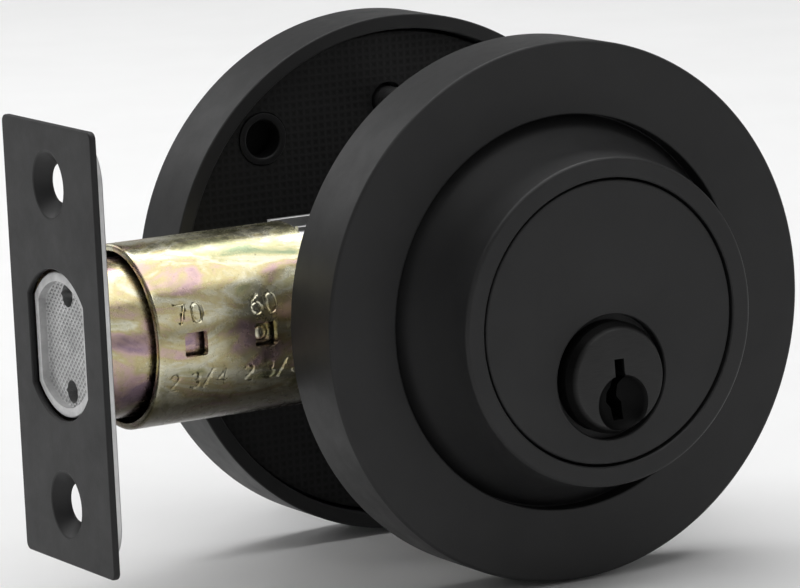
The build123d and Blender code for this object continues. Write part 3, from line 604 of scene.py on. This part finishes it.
def cylinder_body():
    """The lock cylinder, with the stepped hole that the key plug turns in."""
    groove_front, groove_back, groove_r = -17.0, -15.9, CYLINDER_R - 0.8
    outline = [
        (0, CYLINDER_Y),
        (CYLINDER_R, CYLINDER_Y),
        (CYLINDER_R, groove_front),
        (groove_r, groove_front),
        (groove_r, groove_back),
        (CYLINDER_R, groove_back),
        (CYLINDER_R, CYLINDER_BACK),
        (0, CYLINDER_BACK),
    ]
    body = lathe(rounded(outline, {1: 0.3, 6: 0.3}), steps=2 * ROUND)
    mouth, bore, depth, lip = 8.0, 6.4, 1.5, 0.16
    steps = [
        (0, CYLINDER_Y - 1),
        (mouth + lip + 1, CYLINDER_Y - 1),
        (mouth, CYLINDER_Y + lip),
        (mouth, CYLINDER_Y + depth),
        (bore, CYLINDER_Y + depth),
        (bore, CYLINDER_BACK + 1),
        (0, CYLINDER_BACK + 1),
    ]
    make("cylinder", [body], COAT, "cylinder_body", cuts=[lathe(steps, PLUG_AXIS, steps=ROUND)])


def key_plug():
    """The plug that the key turns: a shoulder, a warded keyway and a scooped seat around it."""
    radius, shoulder_r, nose = 6.35, 7.2, 1.6
    shoulder = CYLINDER_Y + 1.45
    neck_y, peg_y = CYLINDER_BACK + 0.1, -10.6
    outline = [
        (0, PLUG_Y),
        (radius, PLUG_Y),
        (shoulder_r, PLUG_Y + nose),
        (shoulder_r, shoulder),
        (radius, shoulder),
        (radius, neck_y),
        (5.0, neck_y),
        (5.0, peg_y),
        (0, peg_y),
    ]
    body = lathe(rounded(outline, {1: 0.25, 2: 0.15}), PLUG_AXIS, steps=2 * ROUND)
    peg_outline = arc(PLUG_AXIS, 4.6, 250, 290, 10) + arc(PLUG_AXIS, 3.1, 290, 250, 8)
    peg = slab(peg_outline, [], peg_y - 0.2, -9.6, "Y")
    keyway = [
        (-0.75, 2.6),
        (0.65, 2.6),
        (0.75, 0.7),
        (1.15, 0.1),
        (0.45, -0.9),
        (0.45, -2.5),
        (1.15, -3.3),
        (1.15, -5.5),
        (-0.3, -5.5),
        (-0.45, -3.9),
        (-1.15, -3.1),
        (-1.15, -1.9),
        (-0.6, -1.1),
    ]
    slot = slab([(x, z + DROP) for x, z in keyway], [], PLUG_Y - 1, CYLINDER_BACK - 1, "Y", bevel=0.01)
    bowl_depth, bowl_r = 1.9, 3.7
    turns = [k * math.pi / 16 for k in range(8)]
    scoop = [(bowl_r * math.cos(a), PLUG_Y + bowl_depth * math.sin(a)) for a in turns]
    above = [(0, PLUG_Y - 1), (bowl_r + 0.1, PLUG_Y - 1)]
    bowl = lathe(above + scoop + [(0, PLUG_Y + bowl_depth)], (0.35, DROP - 3.2), steps=64)
    make("plug", [body, peg], PLUG, "key_plug", cuts=[slot, bowl])


exterior_rosette()
cylinder_collar()
cylinder_body()
key_plug()


# ---------------------------------------------------------------- faceplate and bolt
(FACE_X, _, _), (_, PLATE_HALF_W, PLATE_HALF_H) = span("faceplate")
(BACKING_X, _, _), (BACKING_END, BACKING_HALF_W, BACKING_HALF_H) = span("backing_plate")
SCREW_HEIGHTS = (-20.65, 20.65)


def faceplate():
    """The black plate on the door's edge, with its two pressed screw seats."""
    outer = rectangle((-PLATE_HALF_W, -PLATE_HALF_H), (PLATE_HALF_W, PLATE_HALF_H), 1.0)
    seats = [circle((0, z), 4.3) for z in SCREW_HEIGHTS]
    plate = slab(outer, [double_d(9.75, 15.7)] + seats, FACE_X, BACKING_X, "X", 0.22)
    seat = [
        (4.45, FACE_X),
        (4.25, FACE_X + 0.06),
        (2.5, FACE_X + 1.8),
        (2.5, FACE_X + 1.9),
        (3.2, FACE_X + 1.9),
        (4.8, FACE_X + 0.88),
        (4.8, FACE_X + 0.5),
    ]
    dimples = [lathe(rounded(seat, {1: 0.05, 2: 0.3}), (0, z), "X", 64) for z in SCREW_HEIGHTS]
    make("face", [plate] + dimples, COAT, "faceplate")


def backing_plate():
    """The zinc-plated plate behind the faceplate."""
    outer = rectangle((-BACKING_HALF_W, -BACKING_HALF_H), (BACKING_HALF_W, BACKING_HALF_H), 6.0, 12)
    holes = [circle((0, 0), 10.4, 96)] + [circle((0, z), 4.95) for z in SCREW_HEIGHTS]
    make("backing", [slab(outer, holes, BACKING_X, BACKING_END, "X", 0.2)], ZINC, "backing_plate")


def knurl(low, high, half, pitch, depth):
    """A square field of small pyramids facing -X, closed behind."""
    count = int(2 * half / pitch)
    points, faces = [], []
    for i in range(count + 1):
        for j in range(count + 1):
            height = depth if (i + j) % 2 == 0 else 0.0
            points.append((low - height, -half + i * pitch, -half + j * pitch))
    row = count + 1
    for i in range(count):
        for j in range(count):
            a, b, c, d = i * row + j, (i + 1) * row + j, (i + 1) * row + j + 1, i * row + j + 1
            if (i + j) % 2 == 0:
                faces += [(a, b, d), (b, c, d)]
            else:
                faces += [(a, b, c), (a, c, d)]
    back = len(points)
    reach = -half + count * pitch
    points += [(high, -half, -half), (high, reach, -half), (high, reach, reach), (high, -half, reach)]
    faces.append((back, back + 1, back + 2, back + 3))
    edges = [
        [j for j in range(row)],
        [i * row + count for i in range(row)],
        [count * row + j for j in reversed(range(row))],
        [i * row for i in reversed(range(row))],
    ]
    ends = [(back, back + 3), (back + 3, back + 2), (back + 2, back + 1), (back + 1, back)]
    for line, (first, last) in zip(edges, ends):
        faces.append(tuple(line) + (last, first))
    return points, faces


def bolt():
    """The bolt: a double-D bar whose end has a rim, a knurled recess and the holes of its two hard rods."""
    (front, _, _), (back, _, _) = span("bolt")
    radius, width, rim, recess = 9.4, 15.0, 1.25, 1.1
    rods = [disc(1.5, front - 2, front + 26, (0, z), "X", (0, 0)) for z in (-6.2, 6.2)]
    body = slab(double_d(radius, width), [], front, back, "X", 0.3)
    pocket = slab(double_d(radius - rim, width - 2 * rim), [], front - 2, front + recess, "X", 0.15)
    tail = slab(rectangle((-3.2, -2.75), (3.2, 2.85)), [], -46.0, back + 2, "X", 0.01)
    make("bolt_bar", [body], BOLT, "bolt", cuts=[pocket, tail] + rods)
    pyramids = knurl(front + recess + 0.1, front + 3, half=10.0, pitch=0.48, depth=0.3)
    field = new_object("field", mesh_of("field", [pyramids]))
    inner = slab(double_d(radius - rim + 0.2, width - 2 * rim + 0.4), [], front - 3, front + 2.5, "X", 0.02)
    combine(field, [inner], "INTERSECT")
    combine(field, rods)
    field.name = "bolt_knurl"
    field.data.materials.clear()
    field.data.materials.append(KNURL)
    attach(field, BODY_OF["bolt"])


faceplate()
backing_plate()
bolt()


# ---------------------------------------------------------------- tubes and bolt case
(TUBE_FRONT, _, _), (TUBE_BACK, TUBE_R, _) = span("outer_tube")
TUBE_BORE = 11.1
WINDOW_60, STEP = -36.3, 10.0


def stroke_path(strokes, origin, size, radius):
    """Numeral strokes wrapped around the tube: origin is (position along X, angle up from -Y in degrees)."""
    paths = []
    for stroke in strokes:
        path = []
        for u, v in stroke:
            angle = math.radians(origin[1]) + v * size / radius
            path.append((origin[0] + u * size, -radius * math.cos(angle), radius * math.sin(angle)))
        paths.append(path)
    return paths


def oval(cx, cy, rx, ry, begin, end, steps=10):
    """Points on an oval, for a numeral's round stroke."""
    return [(cx + rx * x, cy + ry * y) for x, y in arc((0, 0), 1, begin, end, steps)]


NUMERALS = {
    "0": [oval(0.3, 0.5, 0.28, 0.5, 90, 450, 16)],
    "2": [oval(0.3, 0.74, 0.26, 0.26, 165, -35, 8) + [(0.03, 0.0), (0.6, 0.0)]],
    "3": [oval(0.28, 0.75, 0.24, 0.25, 150, -80, 8) + oval(0.28, 0.26, 0.28, 0.26, 80, -150, 8)],
    "4": [[(0.45, 0.0), (0.45, 1.0), (0.02, 0.32), (0.62, 0.32)]],
    "6": [oval(0.3, 0.3, 0.27, 0.3, 90, 450, 14), [(0.04, 0.35), (0.12, 0.7), (0.45, 1.0)]],
    "7": [[(0.0, 1.0), (0.58, 1.0), (0.2, 0.0)]],
    "8": [oval(0.3, 0.75, 0.22, 0.24, 90, 450, 12), oval(0.3, 0.26, 0.27, 0.26, 90, 450, 12)],
    "/": [[(0.0, -0.1), (0.5, 1.1)]],
}


def stamped(text, origin, size, radius, width=0.13):
    """Tube-shaped cutters that stamp a number into the tube's wall."""
    cutters = []
    advance = 0.0
    for mark in text:
        if mark == " ":
            advance += 0.45
            continue
        shifted = [[(u + advance, v) for u, v in stroke] for stroke in NUMERALS[mark]]
        for path in stroke_path(shifted, origin, size, radius):
            cutters.append(rod_along(path, width))
        advance += 0.85
    return cutters


def rod_along(path, radius, sides=8):
    """A rod that follows a path: a ring when the path ends where it starts, else closed at its ends."""
    points, faces = [], []
    vectors = [Vector(point) for point in path]
    looped = (vectors[0] - vectors[-1]).length < 1e-6
    if looped:
        vectors.pop()
    count = len(vectors)
    for k, here in enumerate(vectors):
        before = vectors[(k - 1) % count] if looped else vectors[max(k - 1, 0)]
        after = vectors[(k + 1) % count] if looped else vectors[min(k + 1, count - 1)]
        along = (after - before).normalized()
        outward = Vector((0, here.y, here.z)).normalized()
        side = along.cross(outward).normalized()
        up = side.cross(along).normalized()
        for s in range(sides):
            angle = 2 * math.pi * s / sides
            points.append(tuple(here + side * radius * math.cos(angle) + up * radius * math.sin(angle)))
    for k in range(count if looped else count - 1):
        a, b = k * sides, (k + 1) % count * sides
        faces += [(a + s, a + (s + 1) % sides, b + (s + 1) % sides, b + s) for s in range(sides)]
    if not looped:
        faces.append(tuple(range(sides))[::-1])
        faces.append(tuple(range((count - 1) * sides, count * sides)))
    return points, faces


def outer_tube():
    """The latch tube with its two setting windows and the backset sizes stamped beside them."""
    rows = [TUBE_FRONT + 1.0 + 0.4 * k for k in range(56)]  # short faces keep shading clean near the stamps
    outline = [(TUBE_BORE, TUBE_FRONT), (TUBE_R, TUBE_FRONT)] + [(TUBE_R, x) for x in rows]
    outline += [(TUBE_R, TUBE_BACK), (TUBE_BORE, TUBE_BACK)]
    tube = lathe(rounded(outline, {0: 0.1, 1: 0.45}, 5), axis="X", steps=2 * ROUND)
    windows = [
        slab(rectangle((x - 1.6, -1.55), (x + 1.6, 1.55), 0.35), [], -TUBE_R - 1, -6.0, "Y", 0.01)
        for x in (WINDOW_60, WINDOW_60 - STEP)
    ]
    piece = make("tube", [tube], TUBE_ZINC, "outer_tube", cuts=windows)
    stamps = [
        ("70", (WINDOW_60 - STEP - 2.4, 13), 2.6),
        ("60", (WINDOW_60 - 1.8, 13), 2.6),
        ("2 3/4", (WINDOW_60 - STEP - 3.6, -29), 2.3),
        ("2 3/8", (WINDOW_60 - 3.0, -29), 2.3),
    ]
    for text, origin, size in stamps:
        for cutter in stamped(text, origin, size, TUBE_R + 0.05):
            combine(piece, [cutter], solver="MANIFOLD")
    smooth(piece)
    even_normals(piece)


def front_tube():
    """The tube on the faceplate that slides in the outer tube, with the lug that shows in a window."""
    (front, _, _), (back, radius, _) = span("front_tube")
    bore = 9.75
    outline = [(bore, front), (radius, front), (radius, back), (bore, back)]
    tube = lathe(rounded(outline, {2: 0.2}), axis="X")
    dome_r, dome_rise, turns = 1.05, 0.36, [k * math.pi / 16 for k in range(9)]
    dome = [(dome_r * math.sin(a), -radius + 0.1 - dome_rise * math.cos(a)) for a in turns]
    lug = lathe([(0, -radius + 0.4)] + dome, (WINDOW_60, 0), "Y", 32)
    make("tube_front", [tube, lug], COLLAR_ZINC, "front_tube")


QUARTER_TURN = [k * math.pi / 12 for k in range(7)]  # angles of a domed head's outline
RIVETS = [(-22.0, 8.5), (-22.0, -8.5), (-11.0, -9.9), (11.0, -9.9)]


def cheeks():
    """The two side plates of the bolt case, each opening into a half ring that closes the tube."""
    for side, node in ((-1, "case_cheek_exterior"), (1, "case_cheek_interior")):
        low, high = sorted((side * 3.3, side * 4.3))
        end = span(node)[1].x
        outer = rounded(rectangle((TUBE_BACK, -11.8), (end, 11.8)), {1: 5.0, 2: 5.0}, 10)
        plate = slab(outer, [circle(PLUG_AXIS, 4.25)], low, high, "Y", 0.15)
        edge = math.degrees(math.acos(3.3 / TUBE_R))
        bulge = [(side * y, z) for y, z in arc((0, 0), TUBE_R, -edge, edge, 40)]
        flange = slab(bulge, [], TUBE_BACK, TUBE_BACK + 1.0, "X", 0.15)
        inner_edge = math.degrees(math.acos(3.3 / 9.9))
        outer_edge = math.degrees(math.acos(3.3 / TUBE_BORE))
        wall = arc((0, 0), TUBE_BORE - 0.02, -outer_edge, outer_edge, 30)
        wall += arc((0, 0), 9.9, inner_edge, -inner_edge, 30)
        collar = slab([(side * y, z) for y, z in wall], [], TUBE_BACK - 3.0, TUBE_BACK + 0.3, "X", 0.1)
        make(node + "_plate", [plate, flange, collar], ZINC, node)


def rivets():
    """Spacers between the cheeks, with domed heads outside."""
    solids = []
    for spot in RIVETS:
        solids.append(disc(1.3, -3.3, 3.3, spot, steps=32))
        for side in (-1, 1):
            dome = [(0, side * 4.2)]
            dome += [(1.75 * math.cos(a), side * (4.28 + 0.55 * math.sin(a))) for a in QUARTER_TURN]
            solids.append(lathe(dome, spot, steps=32))
    make("rivets", solids, STEEL, "case_rivets")


def cam_and_link():
    """The hub with its arm and pin, and the link that carries the arm's motion to the bolt."""
    swing_r = 12.7 / math.sin(math.radians(45))
    pin = (swing_r * math.sin(math.radians(45)), swing_r * math.cos(math.radians(45)) + DROP)
    hub = disc(4.2, -4.3, 4.3, PLUG_AXIS, edges=(0.2, 0.2), steps=64)
    arm = arc(PLUG_AXIS, 4.2, 135, 315, 24) + arc(pin, 2.7, -45, 135, 16)
    keyhole = slab(rectangle((-1.0, DROP - 3.1), (1.0, DROP + 3.1)), [], -6, 6, "Y", 0.01)
    make("hub", [hub, slab(arm, [], -1.2, 1.2, "Y", 0.15)], ZINC, "cam_hub", cuts=[keyhole])
    make("crank_pin", [disc(1.5, -2.9, 2.9, pin, edges=(0.2, 0.2), steps=32)], STEEL, "drive_pin")
    (front, _, low), (end, _, top) = span("drive_link")
    high, inner, outer = 2.4, 1.5, 2.9
    left = pin[0] - (end - pin[0])
    fork = 2.2
    foot = pin[1] - 2.1
    outline = [
        (front, low),
        (end, low),
        (end, top),
        (pin[0] + fork, top),
        (pin[0] + fork, foot),
        (pin[0] - fork, foot),
        (pin[0] - fork, top),
        (left, top),
        (left, high),
        (front, high),
    ]
    curves = {0: 0.5, 1: 1.0, 2: 0.6, 3: 0.4, 4: 0.8, 5: 0.8, 6: 0.4, 7: 0.6, 8: 1.2, 9: 0.5}
    slot = arc((-41.6, 0), 1.4, 90, 270, 8) + arc((-31.4, 0), 1.4, -90, 90, 8)
    side_ends = ((-outer, -inner), (inner, outer))
    sides = [slab(rounded(outline, curves), [slot], *ends, "Y", 0.14) for ends in side_ends]
    web_outline = rectangle((front + 0.4, low + 0.2), (-19, high - 0.2))
    web = slab(web_outline, [slot], -inner - 0.2, inner + 0.2, "Y", 0.05)
    make("link", sides + [web], ZINC, "drive_link")


outer_tube()
front_tube()
cheeks()
rivets()
cam_and_link()


# ---------------------------------------------------------------- interior side
def interior_rosette():
    """The inner disc, closed but for the spindle and the tie screws."""
    wall = ROSETTE_R - RIM
    outline = [
        (0, INNER_Y),
        (ROSETTE_R, INNER_Y),
        (ROSETTE_R, DOOR_IN),
        (wall, DOOR_IN),
        (wall, INNER_Y - FACE_T),
        (0, INNER_Y - FACE_T),
    ]
    cup = lathe(rounded(outline, {1: 0.45, 2: 0.25, 3: 0.25, 4: 0.6}), steps=2 * ROUND)
    holes = [disc(6.6, INNER_Y - 4, INNER_Y + 1, PLUG_AXIS, edges=(0, 0), steps=96)]
    for z in TIE_HEIGHTS:
        sink = [(0, INNER_Y + 1), (4.9, INNER_Y + 1), (2.3, INNER_Y - 1.6)]
        sink += [(2.3, INNER_Y - 4), (0, INNER_Y - 4)]
        holes.append(lathe(sink, (0, z), steps=48))
    make("rosette_inside", [cup], COAT, "interior_rosette", cuts=holes)


def cross_recess(spot, y, side, size=2.3, depth=1.3):
    """Cutters for a screw's cross recess; side is the way the head faces along Y."""
    cutters = []
    for turn in (0, 90):
        a = math.radians(turn)
        reach, half = size, 0.42
        corners = [(-reach, -half), (reach, -half), (reach, half), (-reach, half)]
        cos, sin = math.cos(a), math.sin(a)
        outline = [(spot[0] + u * cos - v * sin, spot[1] + u * sin + v * cos) for u, v in corners]
        ends = sorted((y - side * depth, y + side * 1.0))
        cutters.append(slab(outline, [], *ends, "Y", 0.01))
    return cutters


def tie_screws():
    """The two long screws that pull the sides together."""
    solids, cuts = [], []
    for z in TIE_HEIGHTS:
        solids.append(screw_thread((0, z), 2.0, -16.6, INNER_Y - 1.4))
        head = [(0, INNER_Y - 1.6), (2.0, INNER_Y - 1.6), (3.6, INNER_Y - 0.1)]
        dome = [(3.6 * math.cos(a), INNER_Y + 0.35 * math.sin(a) - 0.05) for a in QUARTER_TURN]
        solids.append(lathe(head + dome[:-1] + [(0, INNER_Y + 0.3)], (0, z), steps=48))
        cuts += cross_recess((0, z), INNER_Y + 0.2, 1)
    make("tie_screw_pair", solids, COAT, "tie_screws", cuts=cuts, angle=50)


def bridge_screws():
    """The three screws that hold the bridge plate in the exterior rosette."""
    (_, _, _), (_, back, _) = span("bridge_screws")
    solids, cuts = [], []
    for spot in BOSS_PLACES:
        head = [(0, back - 0.9), (2.3, back - 0.9)]
        dome = [(2.3 * math.cos(a), back - 0.45 + 0.45 * math.sin(a)) for a in QUARTER_TURN]
        solids.append(lathe(head + dome[:-1] + [(0, back)], spot, steps=40))
        solids.append(screw_thread(spot, 1.2, back - 6.4, back - 0.8, 0.6, 0.2, 16))
        cuts += cross_recess(spot, back, 1, 1.3, 0.6)
    make("bridge_screw_set", solids, STEEL, "bridge_screws", cuts=cuts, angle=50)


def inside_plates():
    """The pad, plate and eyelets in the interior rosette, and the exterior one's bridge plate and posts."""
    (_, pad_y, _), (plate_r, pad_end, _) = span("mounting_pad")
    (_, plate_y, _), (_, plate_end, _) = span("mounting_plate")
    eyelets = [arc((0, 0), 28.0, angle, angle, 1)[0] for angle in (134, 314)]
    rim = circle((0, 0), plate_r, 2 * ROUND)
    openings = [circle((0, z), 2.5, 32) for z in TIE_HEIGHTS] + [circle(spot, 3.5, 48) for spot in eyelets]
    pad = slab(rim, openings + [circle(PLUG_AXIS, 8.5, 96)], pad_y, pad_end, "Y", 0.2)
    make("pad", [pad], PAD, "mounting_pad")
    plate = slab(rim, openings + [circle(PLUG_AXIS, 8.0, 96)], plate_y, plate_end, "Y", 0.2)
    make("inner_plate", [plate], ZINC, "mounting_plate")
    ring = [(2.5, pad_y - 0.2), (3.5, pad_y - 0.2), (3.5, plate_end), (2.5, plate_end)]
    rings = [lathe(rounded(ring, {0: 0.3, 1: 0.15}), spot, steps=64) for spot in eyelets]
    make("eyelet_pair", rings, INNER_COAT, "plate_eyelets")
    (_, bridge_y, _), (_, bridge_end, _) = span("exterior_bridge")
    holes = [circle((0, 0), CYLINDER_R + 0.1, 2 * ROUND)] + [circle((0, z), 3.3, 48) for z in TIE_HEIGHTS]
    holes += [circle(spot, 1.4, 32) for spot in BOSS_PLACES]
    make("bridge_plate", [slab(rim, holes, bridge_y, bridge_end, "Y", 0.2)], ZINC, "exterior_bridge")
    (_, post_y, _), (_, post_end, _) = span("mounting_posts")
    posts = [disc(3.3, post_y, post_end, (0, z), edges=(0.1, 0.4), bore=2.05, steps=64) for z in TIE_HEIGHTS]
    make("post_pair", posts, ZINC, "mounting_posts")


def turning_parts():
    """The notched cap behind the plug, the tailpiece, and the bushing that the spindle turns in."""
    cap = [(5.0, -11.85), (7.4, -11.85), (7.4, -8.8), (3.5, -8.8), (3.5, -9.5), (5.0, -9.5)]
    notch = 0.8
    notches = []
    for x, z in arc(PLUG_AXIS, 7.9, 0, 330, 11):
        outline = rectangle((x - notch, z - notch), (x + notch, z + notch))
        notches.append(slab(outline, [], -13, -8, "Y", 0.01))
    make("cap", [lathe(rounded(cap, {1: 0.2, 2: 0.3}), PLUG_AXIS)], BRASS, "plug_cap", cuts=notches)
    tail_end = span("tailpiece")[1].y
    head = slab(circle(PLUG_AXIS, 2.9, 48), [], -10.5, -9.6, "Y", 0.1)
    tab_outline = arc(PLUG_AXIS, 4.6, 25, 65, 10) + arc(PLUG_AXIS, 2.0, 65, 25, 6)
    tab = slab(tab_outline, [], -10.5, -9.6, "Y", 0.1)
    bar = slab(rectangle((-3.0, -0.9), (3.0, 0.9), 0.25, 3), [], -9.8, tail_end, "Y", 0.3)
    bar = ([(z, y, x + DROP) for x, y, z in bar[0]], bar[1])
    make("tail", [head, tab, bar], ZINC, "tailpiece")
    flange = span("spindle_bushing")[0].y
    sleeve = [(5.05, flange), (7.8, flange), (7.8, flange + 0.6)]
    sleeve += [(6.6, flange + 0.6), (6.6, INNER_Y), (5.05, INNER_Y)]
    make("bushing", [lathe(rounded(sleeve, {4: 0.2, 5: 0.2}), PLUG_AXIS)], NYLON, "spindle_bushing")


def thumbturn():
    """The thumbturn: a round foot and a flat paddle with soft edges."""
    (_, foot_y, _), (_, tip_y, top) = span("thumbturn")
    foot = [(0, foot_y), (9.0, foot_y), (9.0, foot_y + 3.0), (7.0, foot_y + 6.0), (0, foot_y + 6.0)]
    knob = lathe(rounded(foot, {1: 0.3, 2: 1.2, 3: 1.2}, 6), PLUG_AXIS)
    half, waist, base = top - DROP, 10.8, foot_y + 3.0
    paddle = [
        (base - 1.5, DROP - waist + 2.0),
        (base + 4.0, DROP - half),
        (tip_y, DROP - half),
        (tip_y, DROP + half),
        (base + 4.0, DROP + half),
        (base - 1.5, DROP + waist - 2.0),
    ]
    blade = slab(rounded(paddle, {1: 4.5, 2: 5.0, 3: 5.0, 4: 4.5}, 12), [], -4.0, 4.0, "X", 1.6, 6)
    socket = disc(5.0, foot_y - 1, foot_y + 5, PLUG_AXIS, edges=(0, 0))
    bore = disc(1.5, 0, 20, (INNER_Y + 4.0, DROP), "X", (0, 0), steps=32)
    make("thumbturn_knob", [knob, blade], COAT, "thumbturn", cuts=[socket, bore])


interior_rosette()
tie_screws()
bridge_screws()
inside_plates()
turning_parts()
thumbturn()

for name in ("pin_springs", "cylinder_snap_ring", "detent_spring", "spindle_clip", "wave_washer"):
    dress(name, STEEL)
for name in ("driver_pins", "key_pins", "pin_chamber_cap"):
    dress(name, BRASS)
for name in ("bolt_cross_pin", "anti_saw_rods", "thumbturn_set_screw"):
    dress(name, STEEL)
dress("spindle", ZINC)


# ---------------------------------------------------------------- stage, light and camera
def stage():
    """A wide round floor that curves up all round into a pale wall, far enough off to walk round the lock."""
    low, bend, reach, height, sides = CAD_BOX[0][2] / MM - 0.4, 600, 3000, 1500, 96
    profile = [(0, low)] + [(reach - bend + r, low + bend + z) for r, z in arc((0, 0), bend, -90, 0, 16)]
    profile.append((reach, low + height))
    count = len(profile)
    points, faces = [], []
    for k in range(sides):
        angle = 2 * math.pi * k / sides
        points += [(r * math.cos(angle), r * math.sin(angle), z) for r, z in profile]
        here, there = k * count, (k + 1) % sides * count
        faces += [(here + i, there + i, there + i + 1, here + i + 1) for i in range(count - 1)]
    floor = new_object("floor", mesh_of("floor", [(points, faces)]))
    smooth(floor, 60)
    material, tree, shader = start("pale_floor", Roughness=0.8, Emission_Color=(1, 1, 1, 1))
    where = place(tree)
    shade = ramp(tree, noise(tree, where, 40, 3), [(0.3, 0.86), (0.7, 0.88)])
    tree.links.new(shade, shader.inputs["Base Color"])
    distance = add(tree, "ShaderNodeVectorMath", {0: where}, operation="LENGTH").outputs["Value"]
    glow = ramp(tree, maths(tree, "MULTIPLY", distance, 1 / 3), [(0.3, 0.0), (0.8, 0.15)])
    tree.links.new(glow, shader.inputs["Emission Strength"])
    floor.data.materials.append(material)


def lamp(name, spot, target, size, power):
    """A soft rectangular lamp aimed at a point; its places and sizes are metres, its power watts."""
    data = bpy.data.lights.new(name, "AREA")
    data.shape = "RECTANGLE"
    data.size, data.size_y = size
    data.energy = power
    made = bpy.data.objects.new(name, data)
    bpy.context.scene.collection.objects.link(made)
    made.location = spot
    made.rotation_euler = (Vector(target) - Vector(spot)).to_track_quat("-Z", "Y").to_euler()


def lighting():
    """A dim even room with soft lamps above, over the floor behind, in front, and behind to the left."""
    world = bpy.data.worlds.new("studio")
    bpy.context.scene.world = world
    world.use_nodes = True
    background = world.node_tree.nodes["Background"]
    background.inputs["Color"].default_value = (1, 1, 1, 1)
    background.inputs["Strength"].default_value = 0.03
    lamp("top", (0.05, -0.08, 0.80), (0, 0, 0), (1.0, 1.0), 6)
    lamp("backdrop", (0.0, 0.45, 0.9), (0, 0.8, 0), (1.4, 0.3), 6)
    lamp("front", (0.45, -1.1, 0.65), (0, 0, 0), (1.2, 0.8), 1.8)
    lamp("rear", (-0.5, 0.9, 0.6), (0, 0, 0), (1.0, 0.5), 2.5)


def camera():
    """The camera: where it stands is a turn about Z, a tilt and a small roll around the lock's middle."""
    turn, tilt, roll = math.radians(29.335), math.radians(9.804), math.radians(-2.689)
    distance, aside, above, lens = 0.6906, -0.00856, -0.00091, 234.8
    forward = Vector((math.sin(turn) * math.cos(tilt), math.cos(turn) * math.cos(tilt), -math.sin(tilt)))
    right = Vector((math.cos(turn), -math.sin(turn), 0))
    up = right.cross(forward)
    right, up = right * math.cos(roll) + up * math.sin(roll), up * math.cos(roll) - right * math.sin(roll)
    data = bpy.data.cameras.new("camera")
    data.lens = lens
    data.sensor_width = 36.0
    data.clip_start = 0.01
    made = bpy.data.objects.new("camera", data)
    bpy.context.scene.collection.objects.link(made)
    spot = -distance * forward + aside * right + above * up
    made.matrix_world = Matrix.Translation(spot) @ Matrix((right, up, -forward)).transposed().to_4x4()
    bpy.context.scene.camera = made


stage()
lighting()
camera()
bpy.context.scene.view_settings.view_transform = "Standard"
